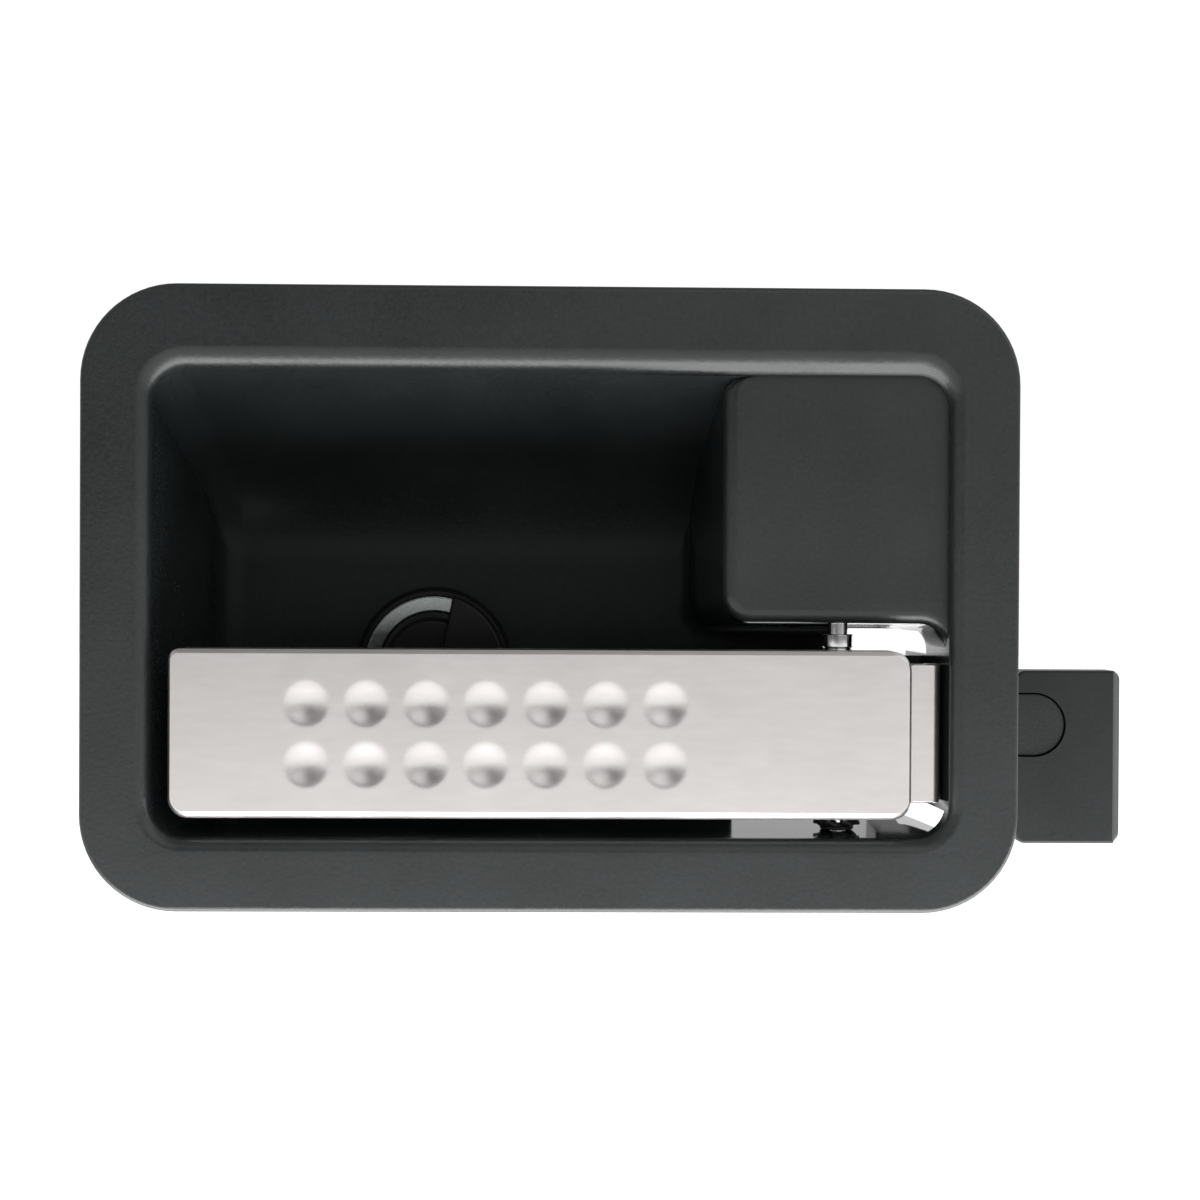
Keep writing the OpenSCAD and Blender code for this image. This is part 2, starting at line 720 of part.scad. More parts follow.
module lever_bushes() {
    color([0.65, 0.45, 0.2]) at_pivot() difference() {
        union() {
            translate([0, 0, arm_top - ear_t - bush_flange]) bush();
            translate([0, 0, arm_bottom + ear_t + bush_flange]) mirror([0, 0, 1]) bush();
        }
        translate([0, 0, -far / 2]) cylinder(r = pin_r + run, h = far);
    }
}

module lever_screws() {
    seat = plate_y + arm_t;
    color([0.75, 0.75, 0.72]) at_lever_screws() difference() {
        union() {
            bar_along_y(arm_screw_r, plate_y - 0.7 * paddle_t, arm_t + 0.7 * paddle_t + 0.5);
            bar_along_y(1.85 * arm_screw_r, seat, arm_screw_head);
        }
        translate([0, seat + arm_screw_head, 0]) rotate([-90, 0, 0])
            cross_slot(1.85 * arm_screw_r, arm_screw_head);
    }
}

module bolt_head() {
    z_mid = (head_top + head_bottom) / 2;
    back = head_front + head_t;
    color([0.08, 0.08, 0.09]) difference() {
        intersection() {
            translate([0, 0, head_bottom]) linear_extrude(height = head_top - head_bottom)
                polygon([[head_l, head_front], [head_r - nose_x, head_front], [head_r, head_front + nose_y],
                    [head_r, back], [head_l, back]]);
            slab(head_front - 1, head_t + 2) translate([(head_l + head_r) / 2, z_mid])
                round_rect(head_len, head_top - head_bottom, head_corner);
        }
        slab(head_front - 1, bar_t + 1.5) {
            translate([head_l - 1, lever_z - pocket_r])
                square([bar_end - bar_h / 2 - head_l + 1, 2 * pocket_r]);
            translate([bar_end - bar_h / 2, lever_z]) circle(r = pocket_r);
        }
        at_bolt_screws() bar_along_y(bolt_screw_r + 0.1, head_front, head_t + 2);
    }
}

// Where the screws between the bolt head and its bar sit
module at_bolt_screws() {
    for (x = bolt_screw_x) translate([x, 0, lever_z]) children();
}

module bolt_bar() {
    color([0.09, 0.09, 0.1]) difference() {
        slab(bar_front, bar_t) {
            translate([bar_l, lever_z - bar_h / 2]) square([bar_end - bar_h / 2 - bar_l, bar_h]);
            translate([bar_end - bar_h / 2, lever_z]) circle(r = bar_h / 2);
            translate([bar_l, lever_z - shoulder_h / 2]) square([shoulder_x - bar_l, shoulder_h]);
        }
        // Window for the drive finger's tip
        translate([tip_x - finger_r - finger_play, bar_front - 1, lever_z - finger_t / 2 - 0.4])
            cube([2 * (finger_r + finger_play), bar_t + 2, finger_t + 0.8]);
        at_bolt_screws() bar_along_y(bolt_screw_r + seat_fit, bar_front + 0.3 * bar_t, bar_t);
    }
}

module bolt_screws() {
    seat = head_front + head_t;
    color([0.75, 0.75, 0.72]) at_bolt_screws() difference() {
        union() {
            bar_along_y(bolt_screw_r, bar_front + 0.4 * bar_t, seat - bar_front - 0.4 * bar_t + 0.5);
            bar_along_y(bolt_head_r, seat, bolt_head_t);
        }
        translate([0, seat + bolt_head_t, 0]) rotate([-90, 0, 0]) cross_slot(bolt_head_r, bolt_head_t);
    }
}

module bar_buffers() {
    h = (shoulder_h - bar_h) / 2 - 0.1;
    color([0.05, 0.05, 0.05]) for (z = [lever_z + bar_h / 2 + 0.1, lever_z - shoulder_h / 2])
        translate([shoulder_x, bar_front, z]) cube([buffer_t, bar_t, h]);
}

module snib_knob() {
    thumb_y = knob_back - knob_t - thumb_t + 1;
    color([0.05, 0.05, 0.06]) at_snib() difference() {
        union() {
            bar_along_y(knob_r, knob_back - knob_t, knob_t);
            rotate([0, thumb_a, 0]) slab(thumb_y, thumb_t) intersection() {
                circle(r = thumb_r);
                translate([thumb_flat, -far / 2]) square([far, far]);
            }
        }
        bar_along_y(spindle_r + seat_fit, knob_back - knob_socket, knob_t);
    }
}

module snib_spindle() {
    color([0.65, 0.65, 0.65]) at_snib() difference() {
        union() {
            bar_along_y(spindle_r, knob_back - knob_socket, cam_y - knob_back + knob_socket);
            translate([-tail_w / 2, cam_y - 0.5, -tail_w / 2]) cube([tail_w, cam_t + 0.3, tail_w]);
        }
        bar_along_y(cam_screw_r + seat_fit, cam_y - cam_screw_l - 1, far);
    }
}

module wave_washer() {
    color([0.6, 0.6, 0.58]) at_snib() difference() {
        bar_along_y(wave_r, sleeve_end, wave_t);
        bar_along_y(spindle_r + 0.1, sleeve_end - 1, wave_t + 2);
    }
}

module snib_cam() {
    color([0.72, 0.72, 0.7]) at_snib() difference() {
        slab(cam_y, cam_t) {
            circle(r = cam_hub_r);
            translate([-cam_arm, 0]) circle(r = cam_tip_r);
            translate([-cam_arm, -cam_tip_r]) square([cam_arm, 2 * cam_tip_r]);
        }
        translate([-tail_w / 2 - run, cam_y - 1, -tail_w / 2 - run])
            cube([tail_w + 2 * run, cam_t + 2, tail_w + 2 * run]);
        translate([-cam_arm, 0, 0]) bar_along_y(rod_r, cam_y - 1, cam_t + 2);
    }
}

module cam_screw() {
    seat = cam_y + cam_t;
    color([0.75, 0.75, 0.72]) at_snib() difference() {
        union() {
            bar_along_y(cam_screw_r, cam_y - cam_screw_l, cam_t + cam_screw_l + 0.5);
            bar_along_y(cam_head_r, seat, cam_head_t);
        }
        translate([0, seat + cam_head_t, 0]) rotate([-90, 0, 0]) cross_slot(cam_head_r, cam_head_t);
    }
}

housing_pan();
flange_gasket();
panel_studs();
hinge_pin();
hinge_spacers();
star_clip();
lever_spring();
guide_liner();
guide_plate();
guide_screws();
snib_rosette();
snib_ring();
snib_sleeve();
snib_washer();
snib_nut();
lever_paddle();
lever_arm();
lever_bushes();
lever_screws();
bolt_head();
bolt_bar();
bolt_screws();
bar_buffers();
snib_knob();
snib_spindle();
wave_washer();
snib_cam();
cam_screw();
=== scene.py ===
# Interior door handle: the looks of its pieces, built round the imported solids.
import json
import math

import bmesh
import bpy
from mathutils import Matrix, Vector
from mathutils.geometry import tessellate_polygon

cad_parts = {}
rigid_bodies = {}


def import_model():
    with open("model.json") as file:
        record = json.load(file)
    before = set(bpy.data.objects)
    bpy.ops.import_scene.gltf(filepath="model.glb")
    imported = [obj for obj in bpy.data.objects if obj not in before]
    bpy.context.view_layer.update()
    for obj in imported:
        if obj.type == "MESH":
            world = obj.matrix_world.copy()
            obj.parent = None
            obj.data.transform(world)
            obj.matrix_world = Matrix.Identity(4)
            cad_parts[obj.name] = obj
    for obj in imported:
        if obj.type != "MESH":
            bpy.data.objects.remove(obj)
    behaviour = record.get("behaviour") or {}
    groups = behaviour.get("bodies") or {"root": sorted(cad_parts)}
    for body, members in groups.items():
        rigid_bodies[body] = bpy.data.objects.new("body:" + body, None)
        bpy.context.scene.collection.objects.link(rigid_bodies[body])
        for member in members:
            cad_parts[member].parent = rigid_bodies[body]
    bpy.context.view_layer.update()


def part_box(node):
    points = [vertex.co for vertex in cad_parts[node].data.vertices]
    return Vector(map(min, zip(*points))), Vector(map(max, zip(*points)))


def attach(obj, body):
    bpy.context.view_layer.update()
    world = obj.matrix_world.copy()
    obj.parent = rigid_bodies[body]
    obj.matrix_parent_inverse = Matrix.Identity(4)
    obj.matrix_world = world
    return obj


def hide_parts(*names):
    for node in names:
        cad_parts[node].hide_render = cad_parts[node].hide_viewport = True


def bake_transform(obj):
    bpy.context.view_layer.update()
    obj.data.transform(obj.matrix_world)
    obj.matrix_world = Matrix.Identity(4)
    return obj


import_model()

# All sizes below are millimetres in the solids' frame: +X right, +Y into the door, +Z up
MM = 0.001
# Reach of a cut that runs out past the object
FAR = 200
# Play between two pieces, one tight in the other
TIGHT = 0.02

# Flange, its gasket and its studs
flange_w, flange_h, flange_r, flange_t = 180, 120, 18.5, 2.5
flange_edge, flange_back_edge = 1.0, 0.25
face_y = -4.0
gasket_t, gasket_in, gasket_room, gasket_edge = 1.5, 1.0, 3.0, 0.3
stud_x, stud_z, stud_r, stud_len, stud_hole_r = 70, 54, 2.5, 17.5, 3.05

# Dish of the pan
dish_half, dish_top, dish_bottom = 77.0, 45.5, 46.0
dish_depth, wall_t, dish_r, least_corner = 46.0, 2.0, 6.5, 2.0
rim_r, rim_land, back_land, floor_r = 2.5, 3.2, 5.0, 5.0
finger_draft, hinge_draft, bottom_draft, scoop_a = (math.radians(a) for a in (7, 2, 4, 27))
scoop_r = 24.0
scoop_d = dish_depth - scoop_r + scoop_r * math.sin(scoop_a)
scoop_z = dish_top - math.tan(scoop_a) * scoop_d - scoop_r * math.cos(scoop_a)
floor_y = face_y + dish_depth
back_y = floor_y + wall_t

# Raised block at the hinge end
block_l, block_b, block_d = 33.5, -4.3, 4.0
block_r, block_edge, block_fillet, block_crown = 5.5, 2.5, 5.0, 3.8
block_draft, block_under_draft = math.radians(6), math.radians(2)
block_foot = 3.0
# Chamfer above the block, and the width over which it fades out to the left
strip_slope, fade_w = 1.2, 40.0

# Paddle and its dimples
lever_l, lever_r, lever_z, lever_h = -73.0, 69.3, -25.8, 32.4
lever_top, lever_bottom = lever_z + lever_h / 2, lever_z - lever_h / 2
lever_y, lever_back, plate_y = -5.0, 3.5, -2.0
lower_bevel, upper_bevel, end_bevel, rim_wall = 1.3, 0.8, 0.75, 2.4
lower_corner, hinge_corner, pull_corner = 3.8, 4.0, 2.5
dimple_x, dimple_pitch, dimple_last, dimple_row = -46.5, 11.4, 6, 11.6
dimple_r, dimple_depth, dimple_room = 4.4, 0.68, 6.5
rib_t, rib_h, rib_count, rib_spaces = 2.0, 3.0, 4, 4.3

# Hinge arm with its drive finger
pivot_x, pivot_y = 56.5, 7.0
pivot = (pivot_x, pivot_y)
nose_front, nose_end, nose_r, nose_t, nose_corner = 1.2, 69.9, 19.9, 3.0, 1.6
arm_t, arm_l = 4.0, 27.0
arm_top, arm_bottom = lever_z + 13.5, lever_z - 13.5
ear_t, ear_foot, ear_half, ear_reach, ear_r = 3.0, 10.5, 6.4, 6.5, 6.0
finger_half_t, finger_half_w, finger_r, hub_r, web_half, hub_hole = 2.5, 2.0, 3.0, 6.0, 4.8, 2.3
bush_r, bush_lip_r, bush_lip = 3.5, 4.6, 1.0
swing, finger_len = math.radians(36), 22
tip_x = pivot_x + finger_len * math.sin(swing / 2)
tip_y = pivot_y + finger_len * math.cos(swing / 2)

# Hinge pin, spacers, clip and spring
pin_r, pin_bottom, pin_top = 2.0, -48.0, 0.7
pin_boss_r, pin_boss_h = 3.6, 5.0
spacer_r, spacer_neck, spacer_play = 3.0, 2.7, 0.05
clip_root, clip_teeth, clip_rise, clip_twist, clip_hub_h = 3.3, 8, 0.5, 0.35, 0.7
wire_r, coil_r, coil_pitch, coil_play = 0.65, 3.6, 1.5, 0.5
coil_start, coil_turn, short_leg, long_leg = 50, 1000, 11, 19

# Bolt and its slide
bar_y, bar_h, bar_t = 28.46, 13.0, 5.0
bar_front, bar_half = bar_y - bar_t / 2, bar_h / 2
bar_share, bar_tail_half, slot_half_w, slot_half_h = 0.456, 10.0, 3.15, 2.9
lead_x, lead_y = 2.2, 3.0
boss_l, boss_half_d, boss_half_h = 67.0, 6.0, 14.5
slide_l, slide_half_d, slide_half_h = 60.0, 4.0, 8.0
guide_screw_z, guide_hole_r = 11.8, 1.52

# Openings of the pan behind the lever
window_l, window_top = 39.0, -14.0
notch_l, notch_top, sill_z = 63.7, -6.2, -44.8
side_cut_x, lower_cut_d, upper_cut_d, cut_room = 70.0, 5.0, 22.0, 0.5

# Snib
snib_x, snib_z = -25.5, -14.4
snib = (snib_x, snib_z)
rosette_y = floor_y - 2.2
sleeve_r, sleeve_hole_r, sleeve_bore, collar_r = 6.0, 6.15, 4.05, 11.0
sleeve_end = back_y + 8
thumb_r, thumb_flat, thumb_a, thumb_t = 15.4, 1.5, 11, 4.0
spindle_r, tail_half = 4.0, 2.8
cam_y, cam_r, cam_reach, cam_tip_r, rod_hole_r = sleeve_end + 0.8, 8.0, 18.0, 5.0, 2.05


def box_of(node):
    """The corners of a solid in millimetres."""
    low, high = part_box(node)
    return low / MM, high / MM


# Making meshes
def new_object(name, verts, faces, edges=()):
    mesh = bpy.data.meshes.new(name)
    mesh.from_pydata([Vector(v) * MM for v in verts], edges, faces)
    mesh.validate()
    obj = bpy.data.objects.new(name, mesh)
    bpy.context.scene.collection.objects.link(obj)
    return obj


def plain(obj):
    """Turns an object with modifiers into a plain mesh."""
    graph = bpy.context.evaluated_depsgraph_get()
    mesh = bpy.data.meshes.new_from_object(obj.evaluated_get(graph))
    old = obj.data
    obj.modifiers.clear()
    obj.data = mesh
    bpy.data.meshes.remove(old)
    return obj


def combine(obj, others, operation):
    """Joins others to obj, or cuts them out of it, and removes them."""
    for other in others:
        mod = obj.modifiers.new("shape", "BOOLEAN")
        mod.operation = operation
        mod.solver = "EXACT"
        mod.object = other
    plain(obj)
    for other in others:
        bpy.data.objects.remove(other)
    return obj


def merged(name, objects):
    """Puts several finished meshes into one piece."""
    verts, faces = [], []
    for obj in objects:
        first = len(verts)
        verts += [v.co / MM for v in obj.data.vertices]
        faces += [tuple(first + i for i in p.vertices) for p in obj.data.polygons]
        bpy.data.objects.remove(obj)
    return new_object(name, verts, faces)


def outward(obj):
    """Turns every face of a closed mesh outwards."""
    work = bmesh.new()
    work.from_mesh(obj.data)
    bmesh.ops.remove_doubles(work, verts=work.verts, dist=1e-7)
    bmesh.ops.recalc_face_normals(work, faces=work.faces)
    work.to_mesh(obj.data)
    work.free()
    return obj


def shaded(obj, angle=38):
    """Smooth shading with edges kept sharp above an angle and flat faces kept flat."""
    obj.data.shade_smooth()
    obj.data.set_sharp_from_angle(angle=math.radians(angle))
    mod = obj.modifiers.new("even", "WEIGHTED_NORMAL")
    mod.keep_sharp = True
    return plain(obj)


def arc(cx, cy, r, a0, a1, n):
    """Points of an arc between two angles in degrees."""
    turns = [math.radians(a0 + (a1 - a0) * i / n) for i in range(n + 1)]
    return [(cx + r * math.cos(a), cy + r * math.sin(a)) for a in turns]


def circle(cx, cy, r, n=64):
    return arc(cx, cy, r, 0, 360, n)[:-1]


def rounded(corners, steps=8):
    """A closed outline through (u, v, radius) corners, each rounded."""
    out = []
    count = len(corners)
    for i, (u, v, r) in enumerate(corners):
        if r <= 0:
            out.append((u, v))
            continue
        here = Vector((u, v))
        to_last = (Vector(corners[i - 1][:2]) - here).normalized()
        to_next = (Vector(corners[(i + 1) % count][:2]) - here).normalized()
        half = to_last.angle(to_next) / 2
        reach = r / math.tan(half)
        centre = here + (to_last + to_next).normalized() * (r / math.sin(half))
        start = here + to_last * reach - centre
        end = here + to_next * reach - centre
        turn = start.angle_signed(end)
        for k in range(steps + 1):
            p = centre + Matrix.Rotation(-turn * k / steps, 2) @ start
            out.append((p.x, p.y))
    return out


def oblong(u0, u1, v0, v1, r, steps=8):
    return rounded([(u0, v0, r), (u1, v0, r), (u1, v1, r), (u0, v1, r)], steps)


def about(u, v, half_u, half_v, r, steps=8):
    """An oblong round a middle."""
    return oblong(u - half_u, u + half_u, v - half_v, v + half_v, r, steps)


def area(loop):
    return sum(a[0] * b[1] - b[0] * a[1] for a, b in zip(loop, loop[1:] + loop[:1])) / 2


def inset(loop, amount):
    """Moves a loop to its left by amount: into the material for an outline turning left."""
    out = []
    count = len(loop)
    for i in range(count):
        p = Vector(loop[i])
        a = (p - Vector(loop[i - 1])).normalized()
        b = (Vector(loop[(i + 1) % count]) - p).normalized()
        n = Vector((-a.y - b.y, a.x + b.x))
        n = n.normalized() / max(0.3, math.sqrt(max(0.0, (1 + a.dot(b)) / 2)))
        out.append(tuple(p + n * amount))
    return out


def quarter(r, steps):
    """A rounded edge in steps: how far along it, and how far it still is drawn in."""
    turns = [math.pi / 2 * k / steps for k in range(steps + 1)]
    return [(r * (1 - math.cos(a)), r * (1 - math.sin(a))) for a in turns]


def edge_levels(w0, w1, edge, steps=3):
    """Levels of a plate from w0 to w1 with both edges rounded, as (place, inset)."""
    turn = quarter(edge, steps)
    return [(w0 + d, i) for d, i in turn] + [(w1 - d, i) for d, i in reversed(turn)]


# A flat outline (u, v) and a place w along the axis of a piece, as a point
ALONG = {"x": lambda u, v, w: (w, u, v), "y": lambda u, v, w: (u, w, v), "z": lambda u, v, w: (u, v, w)}


def plate(name, loops, levels, along="y"):
    """A flat piece: an outline and its holes, carried through levels of (place, inset)."""
    put = ALONG[along]
    loops = [loop if (area(loop) > 0) == (i == 0) else loop[::-1] for i, loop in enumerate(loops)]
    verts, faces, starts = [], [], []
    for w, i in levels:
        row = []
        for loop in loops:
            row.append(len(verts))
            verts += [put(u, v, w) for u, v in inset(loop, i)]
        starts.append(row)
    for low, high in zip(starts, starts[1:]):
        for loop, a, b in zip(loops, low, high):
            n = len(loop)
            faces += [(a + k, a + (k + 1) % n, b + (k + 1) % n, b + k) for k in range(n)]
    for row in (starts[0], starts[-1]):
        flat = [[Vector(verts[s + k]) for k in range(len(loop))] for loop, s in zip(loops, row)]
        index = [s + k for loop, s in zip(loops, row) for k in range(len(loop))]
        faces += [tuple(index[t] for t in tri) for tri in tessellate_polygon(flat)]
    return outward(new_object(name, verts, faces))


def lathe(name, profile, centre, along="y", n=96):
    """A turned piece: a profile of (radius, place), closed on itself unless it starts on the axis."""
    put = ALONG[along]
    on_axis = 1e-6
    verts, faces, rows = [], [], []
    for r, w in profile:
        if r < on_axis:
            rows.append([len(verts)] * n)
            verts.append(put(*centre, w))
        else:
            rows.append(list(range(len(verts), len(verts) + n)))
            verts += [put(u, v, w) for u, v in circle(*centre, r, n)]
    closed = profile[0][0] > on_axis
    for a, b in zip(rows, rows[1:] + rows[:1] if closed else rows[1:]):
        for k in range(n):
            face = tuple(dict.fromkeys((a[k], a[(k + 1) % n], b[(k + 1) % n], b[k])))
            if len(face) > 2:
                faces.append(face)
    return outward(new_object(name, verts, faces))


def turned_ring(name, profile, edge, steps, centre, along="y", n=96):
    """A hollow turned piece with its corners rounded."""
    return lathe(name, rounded([(r, w, edge) for r, w in profile], steps), centre, along, n)


def turned_rod(name, profile, edge, centre, along="y", n=96, steps=4):
    """A solid turned piece whose profile starts and ends on its axis, with its corners rounded."""
    out = [profile[0]]
    for last, here, following in zip(profile, profile[1:], profile[2:]):
        last, here, following = Vector(last), Vector(here), Vector(following)
        reach = min(edge, (here - last).length * 0.45, (here - following).length * 0.45)
        a = here + (last - here).normalized() * reach
        b = here + (following - here).normalized() * reach
        for k in range(steps + 1):
            t = k / steps
            p = a * (1 - t) ** 2 + here * 2 * t * (1 - t) + b * t * t
            out.append((p.x, p.y))
    out.append(profile[-1])
    return lathe(name, out, centre, along, n)


def block_bar(name, x0, x1, y0, y1, z0, z1, r=0.6, edge=0.3):
    return plate(name, [oblong(x0, x1, z0, z1, r, 5)], edge_levels(y0, y1, edge), "y")


def cutter(x0, x1, y0, y1, z0, z1):
    return plate("cutter", [[(x0, z0), (x1, z0), (x1, z1), (x0, z1)]], [(y0, 0), (y1, 0)], "y")


def drill(centre, r, w0, w1, along="y"):
    return plate("drill", [circle(*centre, r)], [(w0, 0), (w1, 0)], along)


# Node trees
class Nodes:
    """Adds nodes to a tree, each fed with values or with the outputs of other nodes."""

    def __init__(self, tree):
        self.tree = tree

    def feed(self, socket, value):
        if isinstance(value, bpy.types.NodeSocket):
            self.tree.links.new(value, socket)
        else:
            socket.default_value = value

    def add(self, kind, inputs=(), **settings):
        """A new node, with its inputs given in order or by name."""
        node = self.tree.nodes.new(kind)
        for key, value in settings.items():
            setattr(node, key, value)
        pairs = inputs.items() if isinstance(inputs, dict) else enumerate(inputs)
        for key, value in pairs:
            self.feed(node.inputs[key], value)
        return node

    def put(self, kind, inputs=(), **settings):
        """The first output of a new node."""
        return self.add(kind, inputs, **settings).outputs[0]

    def maths(self, operation, *values):
        return self.put("ShaderNodeMath", values, operation=operation)

    def vector(self, x, y, z):
        return self.put("ShaderNodeCombineXYZ", (x, y, z))

    def parted(self, vector):
        """The three coordinates of a vector."""
        return self.add("ShaderNodeSeparateXYZ", (vector,)).outputs

    def span(self, value, a, b, low, high, ease="LINEAR"):
        """Carries a value from the range a to b over to the range low to high."""
        inputs = {"Value": value, "From Min": a, "From Max": b, "To Min": low, "To Max": high}
        return self.put("ShaderNodeMapRange", inputs, interpolation_type=ease)

    def noise(self, vector, scale, detail):
        inputs = {"Vector": vector, "Scale": scale, "Detail": detail}
        return self.add("ShaderNodeTexNoise", inputs).outputs["Fac"]


# Finishes
EVEN, DRAWN_X, DRAWN_Z = (1, 1, 1), (0.2, 1, 1), (1, 1, 0.1)


def finish(name, colour, second, rough, grain, bump, depth, metal=0, stretch=EVEN, shine=0.5, graze=None,
           recess_shade=None):
    """A procedural finish between two colours.

    rough is a roughness and its spread, grain the fineness of the texture per metre, stretch its direction
    and depth its relief in millimetres. With graze, the surface grows smoother to that roughness where it is
    seen along its face. The last setting paints shade into a recess: the shine falls to its last value
    between two depths in millimetres, so that the deep part reads darker.
    """
    mat = bpy.data.materials.new(name)
    mat.use_nodes = True
    tree = Nodes(mat.node_tree)
    shader = mat.node_tree.nodes["Principled BSDF"].inputs
    shader["Metallic"].default_value = metal
    shader["Specular IOR Level"].default_value = shine
    place = tree.add("ShaderNodeTexCoord").outputs["Object"]
    # Painted shade: the shine falls with depth so that the deep part of a recess looks darker
    if recess_shade is not None:
        start, end, shaded_shine = recess_shade
        inwards = tree.parted(place)["Y"]
        tree.feed(shader["Specular IOR Level"], tree.span(inwards, start * MM, end * MM, shine, shaded_shine))
    fine = tree.noise(tree.put("ShaderNodeMapping", {"Vector": place, "Scale": stretch}), grain, 3)
    broad = tree.noise(place, 45, 2)
    mixed = tree.maths("MULTIPLY_ADD", fine, 0.5, tree.maths("MULTIPLY", broad, 0.5))
    ramp = tree.add("ShaderNodeValToRGB", {"Fac": mixed})
    for stop, position, tone in zip(ramp.color_ramp.elements, (0.36, 0.64), (colour, second)):
        stop.position = position
        stop.color = (*tone, 1)
    tree.feed(shader["Base Color"], ramp.outputs["Color"])
    middle, spread = rough
    gloss = tree.span(mixed, 0.3, 0.7, middle - spread, middle + spread)
    if graze is not None:
        facing = tree.add("ShaderNodeLayerWeight").outputs["Facing"]
        gloss = tree.span(facing, 0.6, 0.84, gloss, graze)
        bump = tree.span(facing, 0.6, 0.84, bump, 0.0)
    tree.feed(shader["Roughness"], gloss)
    relief = {"Strength": bump, "Distance": depth * MM, "Height": fine}
    tree.feed(shader["Normal"], tree.put("ShaderNodeBump", relief))
    return mat


# The pan's paint gets painted shade deep in its dish, its shine falling with depth
black_paint = finish("grained_black_paint", (0.0064, 0.0082, 0.0082), (0.01, 0.0124, 0.0124),
                     rough=(0.345, 0.05), grain=1200, bump=0.5, depth=0.08, graze=0.05, recess_shade=(32, 41, 0.1))
satin_silver = finish("satin_silver", (0.615, 0.587, 0.577), (0.66, 0.632, 0.622), rough=(0.31, 0.03),
                      grain=900, bump=0.015, depth=0.02, metal=1, stretch=DRAWN_X)
bright_chrome = finish("bright_chrome", (0.2, 0.22, 0.215), (0.34, 0.355, 0.35), rough=(0.26, 0.05),
                       grain=1500, bump=0.15, depth=0.03, metal=1)
black_plastic = finish("black_plastic", (0.004, 0.004, 0.0042), (0.007, 0.007, 0.0072), rough=(0.36, 0.05),
                       grain=1500, bump=0.08, depth=0.03, shine=0.15)
black_steel = finish("black_steel", (0.014, 0.015, 0.015), (0.026, 0.027, 0.027), rough=(0.42, 0.06),
                     grain=2200, bump=0.25, depth=0.05, shine=0.15)
bolt_black = finish("bolt_black", (0.0052, 0.0068, 0.0068), (0.0086, 0.0105, 0.0105), rough=(0.45, 0.05),
                    grain=1500, bump=0.3, depth=0.07, shine=0.3)
zinc_steel = finish("zinc_steel", (0.5, 0.51, 0.52), (0.66, 0.66, 0.64), rough=(0.36, 0.08),
                    grain=700, bump=0.08, depth=0.03, metal=1)
plain_steel = finish("plain_steel", (0.42, 0.42, 0.42), (0.56, 0.56, 0.55), rough=(0.3, 0.06),
                     grain=900, bump=0.06, depth=0.02, metal=1, stretch=DRAWN_Z)
polished_steel = finish("polished_steel", (0.6, 0.6, 0.61), (0.72, 0.72, 0.71), rough=(0.08, 0.02),
                        grain=900, bump=0.02, depth=0.01, metal=1, stretch=DRAWN_Z)
spring_steel = finish("spring_steel", (0.2, 0.2, 0.21), (0.32, 0.32, 0.33), rough=(0.34, 0.06),
                      grain=1200, bump=0.06, depth=0.02, metal=1)
black_rubber = finish("black_rubber", (0.016, 0.016, 0.016), (0.028, 0.028, 0.028), rough=(0.8, 0.05),
                      grain=1800, bump=0.35, depth=0.06)
pale_plastic = finish("pale_plastic", (0.74, 0.72, 0.66), (0.8, 0.78, 0.72), rough=(0.48, 0.05),
                      grain=1400, bump=0.1, depth=0.03)
bearing_brass = finish("bearing_brass", (0.58, 0.37, 0.14), (0.7, 0.48, 0.2), rough=(0.34, 0.06),
                       grain=900, bump=0.06, depth=0.02, metal=1)


def dress(obj, material, body, node):
    """Gives a finished piece its finish and the body that carries it, and hides the solid that it stands for.
    """
    obj.data.materials.clear()
    obj.data.materials.append(material)
    if body:
        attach(obj, body)
    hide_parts(node)


